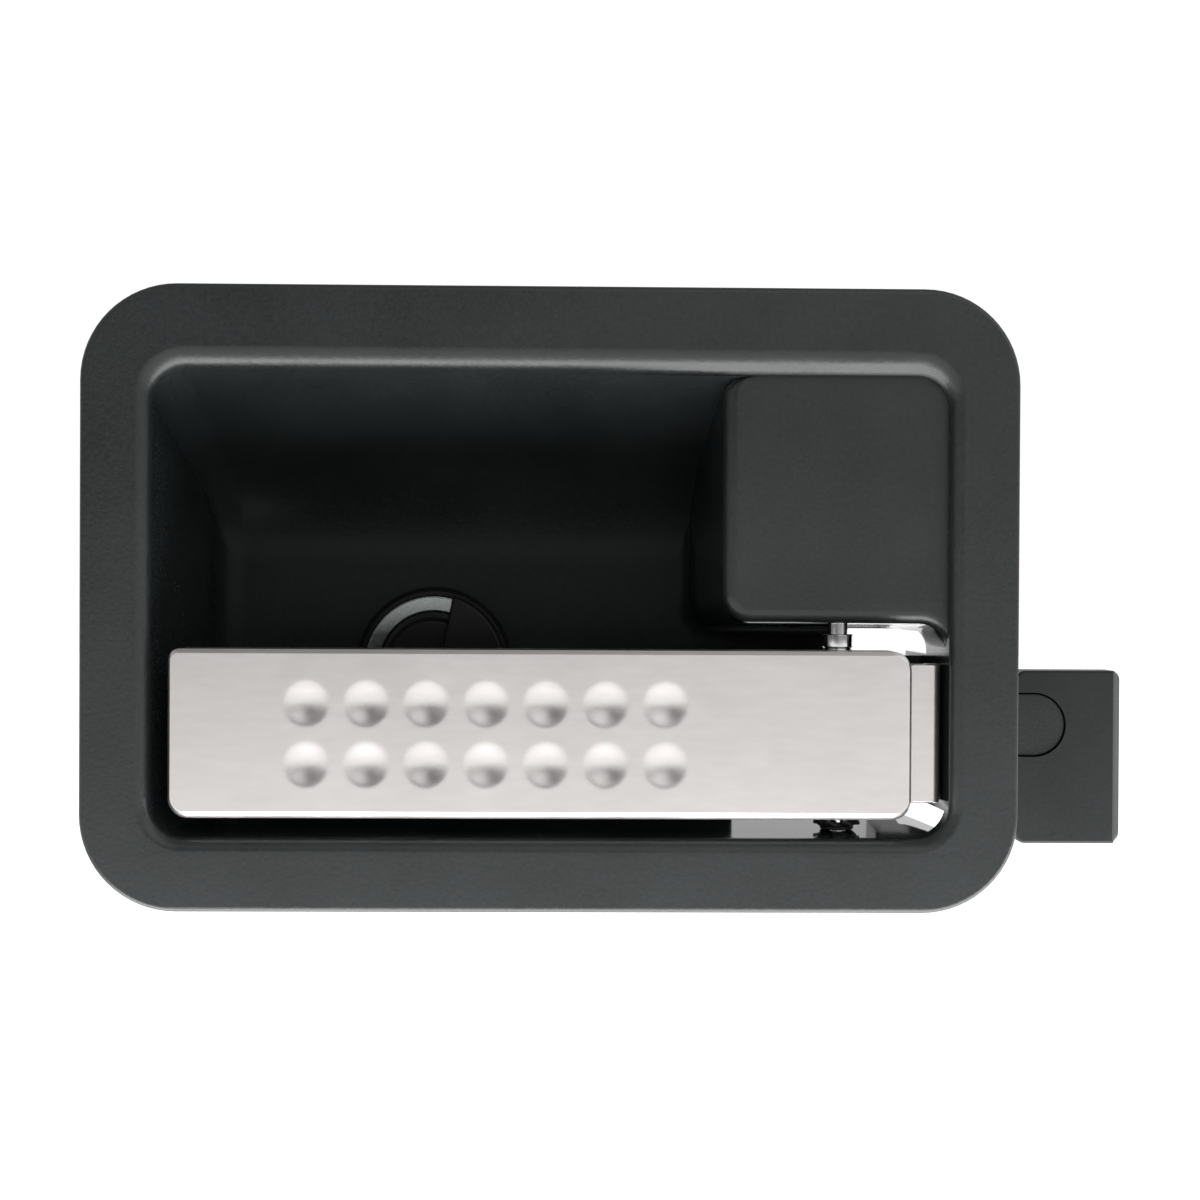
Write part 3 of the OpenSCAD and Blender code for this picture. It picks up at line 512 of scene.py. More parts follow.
# Geometry Nodes trees
class Tree(Nodes):
    """A Geometry Nodes tree with named sizes in metres."""

    def __init__(self, name, *sizes):
        self.group = bpy.data.node_groups.new(name, "GeometryNodeTree")
        super().__init__(self.group)
        sockets = self.group.interface
        sockets.new_socket("Geometry", in_out="INPUT", socket_type="NodeSocketGeometry")
        self.ids = {}
        for size in sizes:
            socket = sockets.new_socket(size, in_out="INPUT", socket_type="NodeSocketFloat")
            self.ids[size] = socket.identifier
        sockets.new_socket("Geometry", in_out="OUTPUT", socket_type="NodeSocketGeometry")
        self.start = self.add("NodeGroupInput")
        self.end = self.add("NodeGroupOutput")

    def size(self, name):
        return self.start.outputs[name]

    def place(self):
        """The three coordinates of each point."""
        return self.parted(self.put("GeometryNodeInputPosition"))

    def cylinder(self, radius, depth, vertices, **segments):
        inputs = {"Vertices": vertices, "Radius": radius, "Depth": depth}
        inputs.update({name.replace("_", " "): count for name, count in segments.items()})
        return self.put("GeometryNodeMeshCylinder", inputs)

    def lifted(self, geometry, height):
        inputs = {"Geometry": geometry, "Translation": self.vector(0.0, 0.0, height)}
        return self.put("GeometryNodeTransform", inputs)

    def solid(self, operation, parts, base=None):
        """Joins parts, or cuts them out of a base."""
        node = self.add("GeometryNodeMeshBoolean", operation=operation, solver="EXACT")
        if base is not None:
            self.feed(node.inputs["Mesh 1"], base)
        for part in parts:
            self.feed(node.inputs["Mesh 2"], part)
        return node.outputs[0]

    def at_points(self, instance, rotation):
        inputs = {"Points": self.size("Geometry"), "Instance": instance, "Rotation": rotation}
        return self.put("GeometryNodeInstanceOnPoints", inputs)

    def finish_with(self, geometry, material):
        real = self.put("GeometryNodeRealizeInstances", {"Geometry": geometry})
        done = self.put("GeometryNodeSetMaterial", {"Geometry": real, "Material": material})
        self.feed(self.end.inputs[0], done)
        return self

    def run(self, obj, **sizes):
        """Shapes an object with the tree; sizes are named with _ for each space."""
        mod = obj.modifiers.new(self.group.name, "NODES")
        mod.node_group = self.group
        for name, value in sizes.items():
            mod[self.ids[name.replace("_", " ")]] = value
        return plain(obj)


def points(name, places):
    return new_object(name, places, [])


def dimple_tree():
    """Presses two rows of round dimples into the front of the paddle."""
    t = Tree("pressed_dimples", "First X", "Pitch X", "Last", "Middle Z", "Pitch Z", "Radius", "Depth",
             "Front Y")
    x, y, z = t.place()
    step = t.maths("ROUND", t.maths("DIVIDE", t.maths("SUBTRACT", x, t.size("First X")), t.size("Pitch X")))
    step = t.maths("MINIMUM", t.maths("MAXIMUM", step, 0.0), t.size("Last"))
    dx = t.maths("SUBTRACT", x, t.maths("MULTIPLY_ADD", step, t.size("Pitch X"), t.size("First X")))
    dz = t.maths("ABSOLUTE", t.maths("SUBTRACT", z, t.size("Middle Z")))
    dz = t.maths("SUBTRACT", dz, t.maths("MULTIPLY", t.size("Pitch Z"), 0.5))
    away = t.maths("SQRT", t.maths("ADD", t.maths("MULTIPLY", dx, dx), t.maths("MULTIPLY", dz, dz)))
    share = t.maths("MINIMUM", t.maths("DIVIDE", away, t.size("Radius")), 1.0)
    bowl = t.maths("POWER", t.maths("SUBTRACT", 1.0, t.maths("MULTIPLY", share, share)), 1.6)
    front = t.maths("LESS_THAN", y, t.maths("ADD", t.size("Front Y"), 0.00001))
    push = t.maths("MULTIPLY", t.maths("MULTIPLY", bowl, t.size("Depth")), front)
    inputs = {"Geometry": t.size("Geometry"), "Offset": t.vector(0.0, push, 0.0)}
    return t.finish_with(t.put("GeometryNodeSetPosition", inputs), satin_silver)


def screw_tree(name, material):
    """Screws with a crowned head and a cross recess, one at each point, heads along +Z before turning."""
    t = Tree(name, "Shank Radius", "Shank Length", "Head Radius", "Head Height", "Turn X", "Turn Y")
    r, h = t.size("Head Radius"), t.size("Head Height")
    head = t.cylinder(r, h, 40, Side_Segments=8, Fill_Segments=4)
    x, y, z = t.place()
    height = t.maths("ADD", z, t.maths("MULTIPLY", h, 0.5))
    over = t.maths("DIVIDE", t.maths("SUBTRACT", t.maths("DIVIDE", height, h), 0.35), 0.65)
    over = t.maths("MAXIMUM", over, 0.0)
    draw = t.maths("SUBTRACT", 1.0, t.maths("MULTIPLY", t.maths("MULTIPLY", over, over), 0.5))
    draw = t.maths("SQRT", draw)
    crown = t.vector(t.maths("MULTIPLY", x, draw), t.maths("MULTIPLY", y, draw), height)
    head = t.put("GeometryNodeSetPosition", {"Geometry": head, "Position": crown})
    long, wide, deep = (t.maths("MULTIPLY", r, share) for share in (1.25, 0.3, 1.1))
    slots = [t.lifted(t.put("GeometryNodeMeshCube", {"Size": size}), h)
             for size in (t.vector(long, wide, deep), t.vector(wide, long, deep))]
    head = t.solid("DIFFERENCE", slots, head)
    down = t.maths("MULTIPLY_ADD", t.size("Shank Length"), -0.5, t.maths("MULTIPLY", h, 0.2))
    shank = t.lifted(t.cylinder(t.size("Shank Radius"), t.size("Shank Length"), 40), down)
    screw = t.solid("UNION", (head, shank))
    return t.finish_with(t.at_points(screw, t.vector(t.size("Turn X"), t.size("Turn Y"), 0.0)), material)


# Turns what stands along +Z to stand along +Y
TO_Y = (-math.pi / 2, 0, 0)


def thread_tree(name, material):
    """Rods with a rolled thread, one standing on each point towards +Y."""
    t = Tree(name, "Radius", "Groove", "Pitch", "Length", "Point", "Bore")
    length, outside = t.size("Length"), t.size("Radius")
    rod = t.cylinder(outside, length, 48, Side_Segments=150)
    x, y, z = t.place()
    angle = t.maths("DIVIDE", t.maths("ARCTAN2", y, x), math.tau)
    phase = t.maths("FRACT", t.maths("SUBTRACT", t.maths("DIVIDE", z, t.size("Pitch")), angle))
    crest = t.maths("ABSOLUTE", t.maths("MULTIPLY_ADD", phase, 2.0, -1.0))
    half = t.maths("MULTIPLY", length, 0.5)
    taper = t.maths("MAXIMUM", t.maths("SUBTRACT", t.size("Point"), t.maths("SUBTRACT", half, z)), 0.0)
    radius = t.maths("SUBTRACT", outside, t.maths("MULTIPLY", crest, t.size("Groove")))
    radius = t.maths("MINIMUM", radius, t.maths("SUBTRACT", outside, taper))
    share = t.maths("DIVIDE", radius, outside)
    rolled = t.vector(t.maths("MULTIPLY", x, share), t.maths("MULTIPLY", y, share), t.maths("ADD", z, half))
    rod = t.put("GeometryNodeSetPosition", {"Geometry": rod, "Position": rolled})
    bore = t.cylinder(t.maths("MAXIMUM", t.size("Bore"), 0.0001), t.maths("MULTIPLY", length, 4.0), 48)
    choice = {"Switch": t.maths("GREATER_THAN", t.size("Bore"), 0.0), "False": rod,
              "True": t.solid("DIFFERENCE", (bore,), rod)}
    either = t.put("GeometryNodeSwitch", choice, input_type="GEOMETRY")
    return t.finish_with(t.at_points(either, TO_Y), material)


def wire_tree(material):
    """Bends a round wire along a line of points."""
    t = Tree("spring_wire", "Wire Radius")
    line = t.put("GeometryNodeMeshToCurve", {"Mesh": t.size("Geometry")})
    section = t.put("GeometryNodeCurvePrimitiveCircle", {"Resolution": 12, "Radius": t.size("Wire Radius")})
    wire = t.put("GeometryNodeCurveToMesh", {"Curve": line, "Profile Curve": section, "Fill Caps": True})
    return t.finish_with(wire, material)


def wave_tree(material):
    """A flat ring bent into waves, on one point, its axis along Y."""
    t = Tree("waved_ring", "Middle Radius", "Width", "Thickness", "Wave", "Waves")
    ring = t.put("GeometryNodeCurvePrimitiveCircle", {"Resolution": 96, "Radius": t.size("Middle Radius")})
    section = t.put("GeometryNodeCurvePrimitiveQuadrilateral",
                    {"Width": t.size("Width"), "Height": t.size("Thickness")})
    band = t.put("GeometryNodeCurveToMesh", {"Curve": ring, "Profile Curve": section})
    x, y, z = t.place()
    swell = t.maths("SINE", t.maths("MULTIPLY", t.maths("ARCTAN2", y, x), t.size("Waves")))
    offset = t.vector(0.0, 0.0, t.maths("MULTIPLY", swell, t.size("Wave")))
    band = t.put("GeometryNodeSetPosition", {"Geometry": band, "Offset": offset})
    return t.finish_with(t.at_points(band, TO_Y), material)


# The pan: its rings run from the block's top corner round the finger end and back over the block
# Points along a ring's corners, the block's fillets, its crown, the straight sides and the fade
corner_n, fillet_n, crown_n, side_n, fade_n = 10, 8, 8, 12, 8
# Rings down the rim, the block's edge, the sloped top and the scoop
rim_n, edge_n, slope_n, scoop_n = 8, 6, 6, 26


def floor_in(d, off):
    """How far the floor radius has drawn a wall in at the depth d."""
    if d <= dish_depth - floor_r:
        return 0.0
    return floor_r + off - math.sqrt(max(0.0, (floor_r + off) ** 2 - (d - dish_depth + floor_r) ** 2))


def walls(d, e, off):
    """Left, right and bottom walls and the corner radius at the depth d, moved out by e and off."""
    i = floor_in(d, off)
    return (-dish_half - off - e + i + math.tan(finger_draft) * d,
            dish_half + off + e - i - math.tan(hinge_draft) * d,
            -dish_bottom - off - e + i + math.tan(bottom_draft) * d,
            max(dish_r + off + e - i, least_corner + off))


def slope_top(d, off):
    """The dish's top at the depth d, before the scoop."""
    return dish_top + off / math.cos(scoop_a) - math.tan(scoop_a) * d


def strip_top(d, e):
    """The dish's top above the block: a chamfer from the rim down to the block's face."""
    knee = rim_r * (1 - math.cos(math.pi / 4))
    rim = slope_top(d, 0) + e
    if d <= knee:
        return rim
    start = slope_top(knee, 0) + knee
    return max(min(rim, start - strip_slope * (d - knee)), slope_top(block_d, 0))


def block_edges(d, drawn, off):
    """Left and lower edges of the raised block and its corner radius at the depth d."""
    foot = 0.0
    if off == 0 and d > dish_depth - block_foot:
        foot = block_foot - math.sqrt(max(0.0, block_foot ** 2 - (d - dish_depth + block_foot) ** 2))
    left = block_l + drawn + off - foot - math.tan(block_draft) * (d - block_d)
    low = block_b + drawn + off - foot - math.tan(block_under_draft) * (d - block_d)
    return left, low, max(block_r - drawn - off + foot, 1.0)


def crown_x(left, z, off):
    """The block's left side near its top, where its corner is rounded."""
    r = block_crown - off * 0.5
    over = z - (slope_top(block_d, off) - r)
    if over <= 0:
        return left
    return left + r - math.sqrt(max(0.0, r * r - min(over, r) ** 2))


def shared_ring(d, top, e, off, start_x, end_z):
    """The part of a ring from the block's top corner round the finger end to its lower edge."""
    left, right, low, r = walls(d, e, off)
    drop = strip_top(d, e) - top if off == 0 and d <= block_d else 0.0
    ring = [(start_x - fade_w * k / fade_n, top + drop * (1 + math.cos(math.pi * k / fade_n)) / 2)
            for k in range(fade_n)]
    ring += arc(left + r, top - r, r, 90, 180, corner_n)
    ring += arc(left + r, low + r, r, 180, 270, corner_n)
    ring += arc(right - r, low + r, r, 270, 360, corner_n)
    ring.append((right, end_z))
    return [(x, face_y + d, z) for x, z in ring]


def outer_ring(d, top, e, off, start_x, end_z):
    """The rest of a ring round the block's outer corner."""
    _, right, _, r = walls(d, e, off)
    up = [(right, end_z + (top - r - end_z) * k / side_n) for k in range(1, side_n)]
    corner = strip_top(d, e) if off == 0 else top
    across = [(right - r + (start_x - right + r) * k / side_n, corner) for k in range(1, side_n)]
    ring = up + arc(right - r, corner - r, r, 0, 90, corner_n) + across
    return [(x, face_y + d, z) for x, z in ring]


def block_ring(d, top, drawn, off):
    """The part of a ring along the block's lower and left sides, with where its two ends meet the rest."""
    right = walls(d, 0, off)[1]
    edge, under, r = block_edges(d, drawn, off)
    f = block_fillet + off
    ring = arc(right - f, under - f, f, 0, 90, fillet_n)[1:]
    ring += arc(edge + r, under + r, r, 270, 180, fillet_n)
    ring += [(crown_x(edge, z, off), z) for z in
             (top - block_crown * (1 - k / crown_n) for k in range(crown_n))]
    return [(x, face_y + d, z) for x, z in ring], (crown_x(edge, top, off), under - f)


def rim_rows(off):
    """Depths of the rings before the block's face and how far the rim holds them out."""
    if off > 0:
        return [(flange_t, 0.0), (back_land, 0.0), (block_d + off, 0.0)]
    return quarter(rim_r, rim_n) + [(rim_land, 0.0), (block_d, 0.0)]


def dish_rows(front, edge, off):
    """Depths of the rings behind the block's face, their tops and how far the block is drawn in."""
    rows = [(front + d, drawn) for d, drawn in quarter(edge, edge_n)[1:]]
    start = rows[-1][0]
    bend = dish_depth - scoop_r + (scoop_r + off) * math.sin(scoop_a)
    rows += [(start + (bend - start) * k / slope_n, 0.0) for k in range(1, slope_n)]
    rows = [(d, slope_top(d, off), drawn) for d, drawn in rows]
    for k in range(scoop_n + 1):
        a = scoop_a + (math.pi / 2 - scoop_a) * k / scoop_n
        rows.append((dish_depth - scoop_r + (scoop_r + off) * math.sin(a),
                     scoop_z + (scoop_r + off) * math.cos(a), 0.0))
    return rows


class Shell:
    """Collects the points and faces of a shell made of rings."""

    def __init__(self):
        self.verts, self.faces = [], []

    def row(self, ring):
        first = len(self.verts)
        self.verts += ring
        return list(range(first, len(self.verts)))

    def join(self, a, b, closed=True):
        last = len(a) if closed else len(a) - 1
        for k in range(last):
            n = (k + 1) % len(a)
            self.faces.append((a[k], a[n], b[n], b[k]))

    def stack(self, rings, start=None):
        """Joins closed rings in turn, after a row that is there already; returns the first and last row."""
        rows = [start] if start else []
        for ring in rings:
            rows.append(self.row(ring))
            if len(rows) > 1:
                self.join(rows[-2], rows[-1])
        return rows[0], rows[-1]

    def fill(self, outer, *holes):
        loops = [outer, *holes]
        flat = [[Vector(self.verts[i]) for i in loop] for loop in loops]
        index = [i for loop in loops for i in loop]
        self.faces += [tuple(index[t] for t in tri) for tri in tessellate_polygon(flat)]

    def dish_side(self, off):
        """One side of the dish, from its rim to its floor; returns its first row."""
        front = block_d + off
        edge = max(block_edge - off, 0.5)
        face_ring, (start_x, end_z) = block_ring(front, slope_top(front, off), edge, off)
        rings = []
        for d, e in rim_rows(off):
            top = slope_top(d, off) + e
            shared = shared_ring(d, top, e, off, start_x, end_z)
            rings.append(shared + outer_ring(d, top, e, off, start_x, end_z))
        first, last = self.stack(rings)
        shared, outer = last[:len(shared)], last[len(shared):]
        face_row = self.row(face_ring)
        self.fill([shared[-1]] + outer + [shared[0]] + face_row[::-1])
        rings = []
        for d, top, drawn in dish_rows(front, edge, off):
            side, (start_x, end_z) = block_ring(d, top, drawn, off)
            rings.append(shared_ring(d, top, 0, off, start_x, end_z) + side)
        self.fill(self.stack(rings, shared + face_row)[1])
        return first


def make_pan():
    shell = Shell()
    front = shell.dish_side(0.0)
    back = shell.dish_side(wall_t)
    outline = about(0, 0, flange_w / 2, flange_h / 2, flange_r, 16)
    rows = [(flange_t, flange_back_edge), (flange_t - flange_back_edge, 0.0)]
    rows += [(d, drawn) for drawn, d in quarter(flange_edge, 5)]
    first, last = shell.stack([[(u, face_y + d, v) for u, v in inset(outline, drawn)] for d, drawn in rows])
    shell.fill(last, front[::-1])
    shell.fill(first, back[::-1])
    pan = outward(new_object("pan", shell.verts, shell.faces))
    boss_low, boss_high = lever_z - boss_half_h, lever_z + boss_half_h
    pin_seat, sunk = block_b + wall_t / 2, 0.2
    bosses = [drill(pivot, pin_boss_r, pin_seat, pin_seat + pin_boss_h, "z"),
              drill(pivot, pin_boss_r, pin_bottom - sunk, pin_bottom + wall_t + sunk, "z"),
              block_bar("slide_boss", boss_l, dish_half + wall_t, bar_y - boss_half_d, bar_y + boss_half_d,
                        boss_low, boss_high)]
    combine(pan, bosses, "UNION")
    bend_y = floor_y - floor_r
    cuts = [cutter(window_l, FAR, bend_y, FAR, -FAR, window_top),
            cutter(notch_l, FAR, bend_y, FAR, window_top - cut_room, notch_top),
            cutter(side_cut_x, FAR, face_y + lower_cut_d, FAR, sill_z, boss_low - cut_room),
            cutter(side_cut_x, FAR, face_y + upper_cut_d, FAR, boss_high + cut_room, notch_top),
            drill(pivot, pin_r + TIGHT, -flange_h / 2, pin_top, "z"),
            cutter(slide_l, FAR, bar_y - slide_half_d, bar_y + slide_half_d,
                   lever_z - slide_half_h, lever_z + slide_half_h),
            drill(snib, sleeve_hole_r, floor_y - 1, back_y + 1)]
    cuts += [drill((bar_y, lever_z + s * guide_screw_z), guide_hole_r, side_cut_x, side_cut_x + 30, "x")
             for s in (-1, 1)]
    combine(pan, cuts, "DIFFERENCE")
    dress(shaded(pan), black_paint, "housing", "housing_pan")


# The paddle and its hinge arm
def paddle_ring(y, low_in, top_in, end_in):
    """The paddle's outline with its lower edge, its upper edge and its ends drawn in."""
    left, right = lever_l + end_in, lever_r - end_in
    low, high = lever_bottom + low_in, lever_top - top_in
    drawn = (low_in + end_in) / 2
    corners = ((left, low, lower_corner - drawn), (right, low, lower_corner - drawn),
               (right, high, hinge_corner - drawn), (left, high, pull_corner - drawn))
    return [(u, y, v) for u, v in rounded(corners, 12)]


def make_paddle():
    # Depth of each ring, and how far its lower edge, its upper edge and its ends are drawn in
    profile = ((lever_y, lower_bevel + 0.12, upper_bevel + 0.1, end_bevel),
               (lever_y + 0.05, lower_bevel - 0.06, upper_bevel - 0.04, end_bevel * 0.85),
               (lever_y + lower_bevel * 0.5, lower_bevel * 0.5, upper_bevel * 0.06, end_bevel * 0.3),
               (lever_y + lower_bevel - 0.1, 0.12, 0.01, 0.02),
               (lever_y + lower_bevel + 0.15, 0.0, 0.0, 0.0),
               (lever_back - 0.4, 0.0, 0.0, 0.0),
               (lever_back - 0.1, 0.1, 0.1, 0.1),
               (lever_back, 0.4, 0.4, 0.4))
    shell = Shell()
    first, last = shell.stack([paddle_ring(*row) for row in profile])
    shell.fill(last)
    # A fine grid in the front, where the dimples are pressed
    x0, x1 = dimple_x - dimple_room, dimple_x + dimple_last * dimple_pitch + dimple_room
    z0, z1 = lever_z - dimple_row, lever_z + dimple_row
    nx, nz = 200, 58
    grid = [shell.row([(x0 + (x1 - x0) * i / nx, lever_y, z0 + (z1 - z0) * k / nz) for i in range(nx + 1)])
            for k in range(nz + 1)]
    for low, high in zip(grid, grid[1:]):
        shell.join(low, high, closed=False)
    right_side, left_side = [row[-1] for row in grid[1:-1]], [row[0] for row in grid[-2:0:-1]]
    border = grid[0] + right_side + grid[-1][::-1] + left_side
    shell.fill(first, border[::-1])
    paddle = outward(new_object("paddle", shell.verts, shell.faces))
    inner_low, inner_high = lever_bottom + rim_wall, lever_top - rim_wall
    combine(paddle, [cutter(lever_l + rim_wall, FAR, plate_y, FAR, inner_low, inner_high)], "DIFFERENCE")
    ribs = []
    sunk = 0.5
    for k in range(1, rib_count + 1):
        x = lever_l + k * (arm_l - lever_l - rib_t) / rib_spaces
        ribs.append(block_bar("rib", x, x + rib_t, plate_y - sunk, plate_y + rib_h,
                              inner_low - sunk, inner_high + sunk, 0.2, 0.25))
    combine(paddle, ribs, "UNION")
    dimple_tree().run(paddle, First_X=dimple_x * MM, Pitch_X=dimple_pitch * MM, Last=float(dimple_last),
                      Middle_Z=lever_z * MM, Pitch_Z=dimple_row * MM, Radius=dimple_r * MM,
                      Depth=dimple_depth * MM, Front_Y=lever_y * MM)
    dress(shaded(paddle, 30), satin_silver, "lever", "lever_paddle")


def make_arm():
    centre_r, inner_r, nose_back = nose_r - nose_corner, nose_r - nose_t, nose_front + nose_t
    corner_a = math.degrees(math.asin((nose_front + nose_corner - pivot_y) / centre_r))
    corner_x = pivot_x + centre_r * math.cos(math.radians(corner_a))
    back_a = math.degrees(math.asin((nose_back - pivot_y) / inner_r))
    step_x, arm_back, arm_web = lever_r - 1, plate_y + arm_t, plate_y + 1
    outline = [(arm_l, plate_y), (nose_end, plate_y), (nose_end, nose_front)]
    outline += arc(corner_x, nose_front + nose_corner, nose_corner, -90, corner_a, 6)
    outline += arc(*pivot, nose_r, corner_a, 1, 12)[1:]
    outline += arc(*pivot, inner_r, 1, back_a, 8)
    outline += [(step_x, nose_back), (step_x, arm_back), (arm_l, arm_back)]
    arm = plate("hinge_arm", [outline], edge_levels(arm_bottom, arm_top, 0.35), "z")
    ear_end = pivot_y + ear_reach
    ear = rounded([(pivot_x - ear_foot, arm_web, 1), (pivot_x + ear_foot, arm_web, 1),
                   (pivot_x + ear_half, ear_end, ear_r), (pivot_x - ear_half, ear_end, ear_r)])
    ears = [plate("ear", [ear], edge_levels(z, z + ear_t, 0.3), "z") for z in (arm_bottom, arm_top - ear_t)]
    side_x, side_y = finger_half_w * math.cos(swing / 2), finger_half_w * math.sin(swing / 2)
    neck = [(pivot_x - side_x, pivot_y + side_y), (pivot_x + side_x, pivot_y - side_y),
            (tip_x + side_x, tip_y - side_y), (tip_x - side_x, tip_y + side_y)]
    web = [(pivot_x - web_half, arm_web), (pivot_x + web_half, arm_web),
           (pivot_x + web_half, pivot_y), (pivot_x - web_half, pivot_y)]
    z0, z1, shy = lever_z - finger_half_t, lever_z + finger_half_t, 0.01
    finger = [plate("neck", [neck], [(z0, 0), (z1, 0)], "z"),
              plate("tip", [circle(tip_x, tip_y, finger_r)], edge_levels(z0, z1, 0.3), "z"),
              plate("hub", [circle(*pivot, hub_r)], edge_levels(z0, z1, 0.3), "z"),
              plate("web", [web], [(z0 + shy, 0), (z1 - shy, 0)], "z")]
    combine(arm, ears + finger, "UNION")
    combine(arm, [drill(pivot, bush_r + TIGHT, arm_bottom - 1, arm_bottom + ear_t + 1, "z"),
                  drill(pivot, bush_r + TIGHT, arm_top - ear_t - 1, arm_top + 1, "z"),
                  drill(pivot, hub_hole, z0 - 1, z1 + 1, "z")], "DIFFERENCE")
    dress(shaded(arm), satin_silver, "lever", "lever_arm")
    bushes = []
    bore, length = pin_r + 0.05, ear_t + bush_lip
    for z, way in ((arm_top - length, 1), (arm_bottom + length, -1)):
        lip, end = z + bush_lip * way, z + length * way
        profile = [(bore, z), (bush_lip_r, z), (bush_lip_r, lip), (bush_r, lip), (bush_r, end), (bore, end)]
        bushes.append(turned_ring("bushes", profile, 0.2, 3, pivot, "z", 64))
    dress(shaded(merged("hinge_bushes", bushes)), bearing_brass, "lever", "lever_bushes")


# The hinge pin, its spacers, clip and spring
def make_hinge():
    top = box_of("hinge_pin")[1].z
    pin = turned_rod("hinge_rod", [(0, pin_bottom), (pin_r, pin_bottom), (pin_r, top), (0, top)], 0.5,
                     pivot, "z", 48)
    dress(shaded(pin), polished_steel, "housing", "hinge_pin")
    low, high = box_of("hinge_spacers")
    bore = pin_r + TIGHT
    rings = []
    for z0, z1 in ((arm_top + spacer_play, high.z), (low.z, arm_bottom - spacer_play)):
        mid = (z0 + z1) / 2
        profile = [(bore, z0), (spacer_r, z0), (spacer_r, mid - 0.3), (spacer_neck, mid - 0.2),
                   (spacer_neck, mid + 0.2), (spacer_r, mid + 0.3), (spacer_r, z1), (bore, z1)]
        rings.append(turned_ring("spacer", profile, 0.2, 3, pivot, "z", 64))
    dress(shaded(merged("pin_spacers", rings)), polished_steel, "housing", "hinge_spacers")
    make_clip(bore)


def make_clip(bore):
    """A star-shaped clip whose teeth are raised and twisted, with a short hub below."""
    low, high = box_of("star_clip")
    clip_r = (high.x - low.x) / 2
    pitch, gap = 360 / clip_teeth, 8
    star = []
    for k in range(clip_teeth):
        a = pitch * k
        star += arc(*pivot, clip_r, a + gap, a + pitch - gap, 8)
        star += arc(*pivot, clip_root, a + pitch - gap, a + pitch + gap, 4)
    clip = plate("star_washer", [star, circle(*pivot, bore, 48)], edge_levels(low.z, high.z, 0.12), "z")
    for v in clip.data.vertices:
        x, y = v.co.x / MM - pivot_x, v.co.y / MM - pivot_y
        lift = max(0.0, math.hypot(x, y) - clip_root) / (clip_r - clip_root)
        v.co.z += MM * lift * (clip_rise + clip_twist * math.sin(clip_teeth * math.atan2(y, x)))
    foot = low.z - clip_hub_h
    profile = [(bore, foot), (clip_root, foot), (clip_root, low.z), (bore, low.z)]
    clip = merged("pin_clip", [clip, turned_ring("clip_hub", profile, 0.2, 3, pivot, "z", 48)])
    dress(shaded(clip), black_steel, "housing", "star_clip")


def make_spring():
    coil_z = lever_z + finger_half_t + coil_play + wire_r
    count = 140

    def coil(a):
        t = math.radians(a)
        rise = coil_pitch * (a - coil_start) / 360
        return Vector((pivot_x + coil_r * math.cos(t), pivot_y + coil_r * math.sin(t), coil_z + rise))

    def onward(a):
        t = math.radians(a)
        return Vector((-math.sin(t), math.cos(t), 0))

    coil_end = coil_start + coil_turn
    path = [coil(coil_start) - short_leg * onward(coil_start)]
    path += [coil(coil_start + coil_turn * k / count) for k in range(count + 1)]
    path.append(coil(coil_end) + long_leg * onward(coil_end))
    wire = new_object("return_spring", path, [], [(k, k + 1) for k in range(len(path) - 1)])
    wire_tree(spring_steel).run(wire, Wire_Radius=wire_r * MM)
    wire = shaded(outward(wire), 50)
    # No one body carries the spring, so none is given to it
    dress(wire, spring_steel, None, "lever_spring")
    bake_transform(wire)


# The bolt and its slide
def make_bolt():
    low, high = box_of("bolt_head")
    levels = edge_levels(low.y, high.y, 0.5)
    levels.insert(4, (low.y + lead_y, 0.0))
    head = plate("bolt_nose", [oblong(low.x, high.x, low.z, high.z, 2.0)], levels, "y")
    # The sloped lead at the front of the bolt's end
    for v in head.data.vertices:
        x, y = v.co.x / MM, v.co.y / MM
        limit = high.x - lead_x * max(0.0, 1 - (y - low.y) / lead_y)
        v.co.x = min(x, limit) * MM
    end = low.x + bar_share * (high.x - low.x)
    pocket_l, pocket_r = low.x - 5, bar_half + 0.2
    pocket = [(pocket_l, lever_z - pocket_r)] + arc(end - bar_half, lever_z, pocket_r, -90, 90, 32)
    pocket.append((pocket_l, lever_z + pocket_r))
    combine(head, [plate("pocket", [pocket], [(low.y - 2, 0), (bar_front + bar_t, 0)], "y")], "DIFFERENCE")
    dress(shaded(outward(head)), bolt_black, "bolt", "bolt_head")
    tail, shoulder = box_of("bolt_bar")[0].x, box_of("bar_buffers")[0].x
    lower = [(tail, -bar_tail_half, 1.5), (shoulder, -bar_tail_half, 0.5), (shoulder, -bar_half, 0.3),
             (end, -bar_half, bar_half - 0.01)]
    upper = [(u, -v, r) for u, v, r in reversed(lower)]
    outline = rounded([(u, lever_z + v, r) for u, v, r in lower + upper], 16)
    slot = about(tip_x, lever_z, slot_half_w, slot_half_h, 0.3)
    bar = plate("bolt_rail", [outline, slot], edge_levels(bar_front, bar_front + bar_t, 0.35), "y")
    dress(shaded(bar), black_steel, "bolt", "bolt_bar")
    low, high = box_of("bar_buffers")
    clear = bar_half + 0.1
    pads = [block_bar("pad", low.x, high.x, low.y, high.y, z0, z1, 0.4, 0.3)
            for z0, z1 in ((low.z, lever_z - clear), (lever_z + clear, high.z))]
    dress(shaded(merged("stop_pads", pads)), black_rubber, "bolt", "bar_buffers")


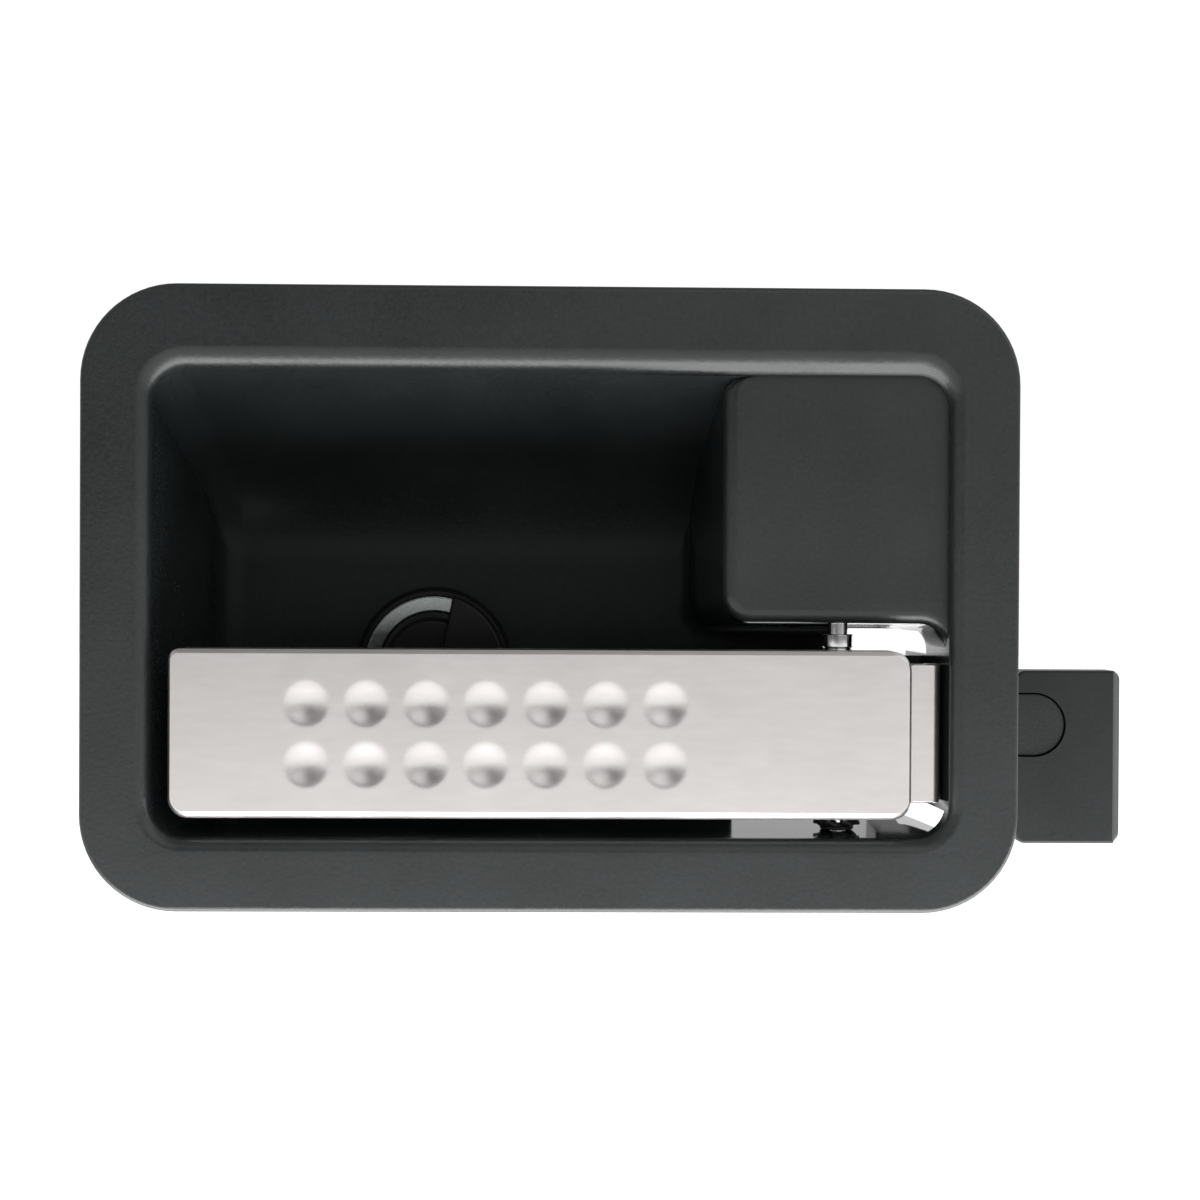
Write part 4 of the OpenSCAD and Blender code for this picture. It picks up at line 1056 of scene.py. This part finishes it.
def make_slide():
    low, high = box_of("guide_liner")
    run, shy, lip_t = 0.05, 0.05, 1.0
    hole = about(bar_y, lever_z, bar_t / 2 + run, bar_half + run, 0.25, 4)
    sleeve = about(bar_y, lever_z, slide_half_d - shy, slide_half_h - shy, 0.8, 5)
    flange = oblong(low.y, high.y, low.z, high.z, 1.2, 6)
    screws = [circle(bar_y, lever_z + s * guide_screw_z, 1.6, 32) for s in (-1, 1)]
    liner = plate("slide_liner", [sleeve, hole], edge_levels(low.x, high.x - lip_t / 2, 0.25), "x")
    lip = plate("lip", [flange, hole] + screws, edge_levels(high.x - lip_t, high.x, 0.2), "x")
    liner = merged("slide_liner", [liner, lip])
    dress(shaded(liner), pale_plastic, "housing", "guide_liner")
    low, high = box_of("guide_plate")
    wide = 0.5
    hole = about(bar_y, lever_z, bar_t / 2 + wide, bar_half + wide, 0.8, 5)
    cover = plate("slide_plate", [oblong(low.y, high.y, low.z, high.z, 1.5, 6), hole] + screws,
                  edge_levels(low.x, high.x, 0.25), "x")
    dress(shaded(cover), zinc_steel, "housing", "guide_plate")


# The snib
def make_rosette():
    low, high = box_of("snib_rosette")
    r, chamfer = (high.x - low.x) / 2, 0.9
    profile = [(sleeve_hole_r, high.y), (r, high.y), (r, low.y + chamfer), (r - chamfer, low.y),
               (sleeve_hole_r, low.y)]
    rosette = turned_ring("rosette", profile, 0.35, 4, snib)
    dress(shaded(rosette), black_plastic, "housing", "snib_rosette")
    low, high = box_of("snib_ring")
    inside, outside = 11.5, 14.9
    profile = [(inside, high.y), (outside, high.y), (outside, low.y + 0.4), (outside - 0.3, low.y),
               (outside - 0.6, low.y), (inside, low.y + 0.18)]
    ring = turned_ring("bright_ring", profile, 0.3, 5, snib)
    dress(shaded(ring), bright_chrome, "housing", "snib_ring")


def make_sleeve():
    low, high = box_of("snib_sleeve")
    sunk = 0.2
    tube = points("threaded_sleeve", [(snib_x, rosette_y - sunk, snib_z)])
    thread_tree("sleeve_thread", zinc_steel).run(
        tube, Radius=sleeve_r * MM, Groove=0.45 * MM, Pitch=1.0 * MM, Length=(high.y - rosette_y + sunk) * MM,
        Point=0.7 * MM, Bore=sleeve_bore * MM)
    profile = [(sleeve_bore, rosette_y), (collar_r, rosette_y), (collar_r, low.y), (sleeve_bore, low.y)]
    tube = merged("threaded_sleeve", [tube, turned_ring("collar", profile, 0.25, 3, snib)])
    dress(shaded(tube, 50), zinc_steel, "housing", "snib_sleeve")
    low, high = box_of("snib_washer")
    profile = [(sleeve_hole_r, low.y), (collar_r, low.y), (collar_r, high.y), (sleeve_hole_r, high.y)]
    washer = turned_ring("flat_washer", profile, 0.2, 3, snib)
    dress(shaded(washer), zinc_steel, "housing", "snib_washer")
    low, high = box_of("snib_nut")
    nut_r = (high.x - low.x) / 2
    hexagon = rounded([(u, v, 0.6) for u, v in circle(*snib, nut_r, 6)], 4)
    levels = [(low.y, 0.7), (low.y + 0.5, 0.0), (high.y - 0.5, 0.0), (high.y, 0.7)]
    nut = plate("lock_nut", [hexagon, circle(*snib, sleeve_r + TIGHT)], levels, "y")
    dress(shaded(nut), zinc_steel, "housing", "snib_nut")


def make_thumb():
    low, high = box_of("snib_knob")
    # Radius and height above the back of the turned body, from its socket round to its front
    socket_r = spindle_r + TIGHT
    profile = ((0, 2.5), (socket_r, 2.5), (socket_r, 0), (11.2, 0), (11.2, 0.6), (10.2, 2.6), (9.4, 3.7),
               (0, 3.7))
    knob = turned_rod("thumb_turn", [(r, high.y - h) for r, h in profile], 0.35, snib)
    a = math.degrees(math.acos(thumb_flat / thumb_r))
    half_moon = arc(*snib, thumb_r, -a - thumb_a, a - thumb_a, 48)
    thumb = plate("thumb", [half_moon], edge_levels(low.y, low.y + thumb_t, 0.7, 5), "y")
    combine(knob, [thumb], "UNION")
    dress(shaded(knob), black_plastic, "snib", "snib_knob")
    low, high = box_of("snib_spindle")
    profile = [(0, low.y), (spindle_r, low.y), (spindle_r, cam_y), (0, cam_y)]
    shaft = turned_rod("spindle", profile, 0.3, snib, "y", 64)
    square = about(*snib, tail_half, tail_half, 0.4, 4)
    tail = plate("tail", [square], edge_levels(cam_y - 0.5, high.y, 0.2), "y")
    combine(shaft, [tail], "UNION")
    dress(shaded(shaft), plain_steel, "snib", "snib_spindle")


def make_cam():
    wave = points("spring_washer", [(snib_x, sleeve_end + 0.4, snib_z)])
    wave_tree(spring_steel).run(wave, Middle_Radius=5.55 * MM, Width=2.7 * MM, Thickness=0.3 * MM,
                                Wave=0.24 * MM, Waves=3.0)
    dress(shaded(outward(wave), 50), spring_steel, "snib", "wave_washer")
    low, high = box_of("snib_cam")
    rod_x, hole_half = snib_x - cam_reach, tail_half + 0.05
    flat = math.degrees(math.asin(cam_tip_r / cam_r))
    outline = arc(*snib, cam_r, -180 + flat, 180 - flat, 48) + arc(rod_x, snib_z, cam_tip_r, 90, 270, 32)
    loops = [outline, about(*snib, hole_half, hole_half, 0.4, 4), circle(rod_x, snib_z, rod_hole_r, 40)]
    cam = plate("lock_cam", loops, edge_levels(low.y, high.y, 0.3), "y")
    dress(shaded(cam), zinc_steel, "snib", "snib_cam")


def make_screws():
    """All the cross-headed screws, one piece for each solid that they stand for."""
    tree = screw_tree("cross_screws", zinc_steel)
    to_back, to_right = (-math.pi / 2, 0.0), (0.0, math.pi / 2)
    arm_seat = plate_y + arm_t
    guide_seat = box_of("guide_plate")[1].x
    head_l, nose_seat = box_of("bolt_head")[0].x, box_of("bolt_screws")[1].y - 1.6
    cam_seat = box_of("cam_screw")[1].y - 2.5
    arm_places = [(x, arm_seat, lever_z + s * 8.1) for x in (arm_l + 5, arm_l + 18) for s in (-1, 1)]
    guide_places = [(guide_seat, bar_y, lever_z + s * guide_screw_z) for s in (-1, 1)]
    nose_places = [(head_l + x, nose_seat, lever_z) for x in (2.6, 7.66)]
    # Name, body, solid, places, shank radius and length, head radius and height, turn
    sets = (("arm_screws", "lever", "lever_screws", arm_places, 1.6, 6.0, 2.96, 1.9, to_back),
            ("slide_screws", "housing", "guide_screws", guide_places, 1.5, 8.0, 2.4, 1.5, to_right),
            ("nose_screws", "bolt", "bolt_screws", nose_places, 1.25, 5.4, 2.1, 1.6, to_back),
            ("end_screw", "snib", "cam_screw", [(snib_x, cam_seat, snib_z)], 1.9, 8.0, 4.2, 2.5, to_back))
    for name, body, node, places, shank, length, head, height, turn in sets:
        screws = tree.run(points(name, places), Shank_Radius=shank * MM, Shank_Length=length * MM,
                          Head_Radius=head * MM, Head_Height=height * MM, Turn_X=turn[0], Turn_Y=turn[1])
        dress(shaded(screws), zinc_steel, body, node)


def make_studs():
    corners = [(x * stud_x, z * stud_z) for x in (-1, 1) for z in (-1, 1)]
    studs = points("threaded_studs", [(x, -gasket_t, z) for x, z in corners])
    thread_tree("stud_thread", zinc_steel).run(studs, Radius=stud_r * MM, Groove=0.42 * MM, Pitch=0.8 * MM,
                                               Length=stud_len * MM, Point=1.0 * MM, Bore=0.0)
    dress(shaded(studs, 50), zinc_steel, "housing", "panel_studs")
    outer = about(0, 0, flange_w / 2 - gasket_in, flange_h / 2 - gasket_in, flange_r - gasket_in, 16)
    inner = oblong(-dish_half - gasket_room, dish_half + gasket_room,
                   -dish_bottom - gasket_room, dish_top + gasket_room, dish_r + gasket_room, 10)
    holes = [circle(x, z, stud_hole_r, 32) for x, z in corners]
    gasket = plate("flange_seal", [outer, inner] + holes, edge_levels(-gasket_t, 0.0, gasket_edge), "y")
    dress(shaded(gasket), black_rubber, "housing", "flange_gasket")


make_pan()
make_paddle()
make_arm()
make_hinge()
make_spring()
make_bolt()
make_slide()
make_rosette()
make_sleeve()
make_thumb()
make_cam()
make_screws()
make_studs()

# Camera, fitted to the photograph
camera_at = Vector((3.0, -354.0, 2.8)) * MM
camera_pitch, camera_roll, camera_yaw = (math.radians(a) for a in (-0.46, -0.30, -1.03))
lens = bpy.data.cameras.new("camera")
lens.sensor_width = 36
lens.lens = 54.93
lens.clip_start = 0.01
camera = bpy.data.objects.new("camera", lens)
aim = Matrix.Rotation(camera_yaw, 4, "Z") @ Matrix.Rotation(camera_pitch, 4, "X")
aim = aim @ Matrix.Rotation(camera_roll, 4, "Y") @ Matrix.Rotation(math.pi / 2, 4, "X")
camera.matrix_world = Matrix.Translation(camera_at) @ aim
bpy.context.scene.collection.objects.link(camera)
bpy.context.scene.camera = camera

# Pale floor
floor_z, floor_half = -160, 4000
floor_corners = [(x * floor_half, y * floor_half, floor_z) for x, y in ((-1, -1), (1, -1), (1, 1), (-1, 1))]
floor = new_object("pale_floor", floor_corners, [(0, 1, 2, 3)])
floor.data.materials.append(finish("pale_floor", (0.9, 0.9, 0.9), (0.93, 0.93, 0.93), rough=(0.9, 0.02),
                                   grain=300, bump=0.02, depth=0.1))


# Studio light, in metres: a low panel that faces up and a broad light from overhead
def add_light(name, kind, energy, glossy):
    data = bpy.data.lights.new(name, kind)
    data.energy = energy
    light = bpy.data.objects.new(name, data)
    light.visible_camera = False
    light.visible_glossy = glossy
    bpy.context.scene.collection.objects.link(light)
    return light


panel_w, panel_h, panel_radiance = 0.5, 0.1, 7.0
panel = add_light("low_panel", "AREA", panel_radiance * math.pi * panel_w * panel_h, glossy=True)
panel.data.shape = "RECTANGLE"
panel.data.size, panel.data.size_y = panel_w, panel_h
panel.location = (0.09, -0.035, -0.125)
panel.rotation_euler = Vector((0, 0, 1)).to_track_quat("-Z", "Y").to_euler()
overhead = add_light("overhead", "SUN", 2.6, glossy=False)
overhead.data.angle = math.radians(130)

# Room: its brightness by direction, dim below, overhead and to the left, with a pale sheet behind
world = bpy.data.worlds.new("studio")
world.use_nodes = True
bpy.context.scene.world = world
air = Nodes(world.node_tree)
way = air.add("ShaderNodeTexCoord").outputs["Generated"]
way_x, way_y, way_z = air.parted(way)


def fade(value, a, b, low, high):
    return air.span(value, a, b, low, high, "SMOOTHSTEP")


def toward(azimuth, elevation):
    """How nearly a direction points to a place in the room, 1 for straight to it."""
    a, e = math.radians(azimuth), math.radians(elevation)
    place = (math.sin(a) * math.cos(e), -math.cos(a) * math.cos(e), math.sin(e))
    return air.add("ShaderNodeVectorMath", (way, place), operation="DOT_PRODUCT").outputs["Value"]


room = fade(way_z, 0.08, 0.3, 0.26, 0.83)
# One dark place high on the left, which the dimples show
dark = fade(toward(-17, 19), math.cos(math.radians(14)), math.cos(math.radians(5)), 1.0, 0.03)
for share in (fade(way_z, 0.2, 0.36, 1.0, 1.25), fade(way_z, 0.6, 0.9, 1.0, 0.4),
              fade(way_x, -0.3, 0.3, 0.6, 1.34), dark):
    room = air.maths("MULTIPLY", room, share)
sheet = fade(way_z, 0.0, 0.8, 1.1, 0.5)
around = air.put("ShaderNodeMix", {"Factor": fade(way_y, -0.2, 0.35, 0.0, 1.0), "A": room, "B": sheet})
seen = air.add("ShaderNodeLightPath").outputs["Is Camera Ray"]
background = world.node_tree.nodes["Background"].inputs
background["Color"].default_value = (1, 1, 1, 1)
air.feed(background["Strength"], air.put("ShaderNodeMix", {"Factor": seen, "A": around, "B": 1.05}))
bpy.context.scene.view_settings.view_transform = "Standard"
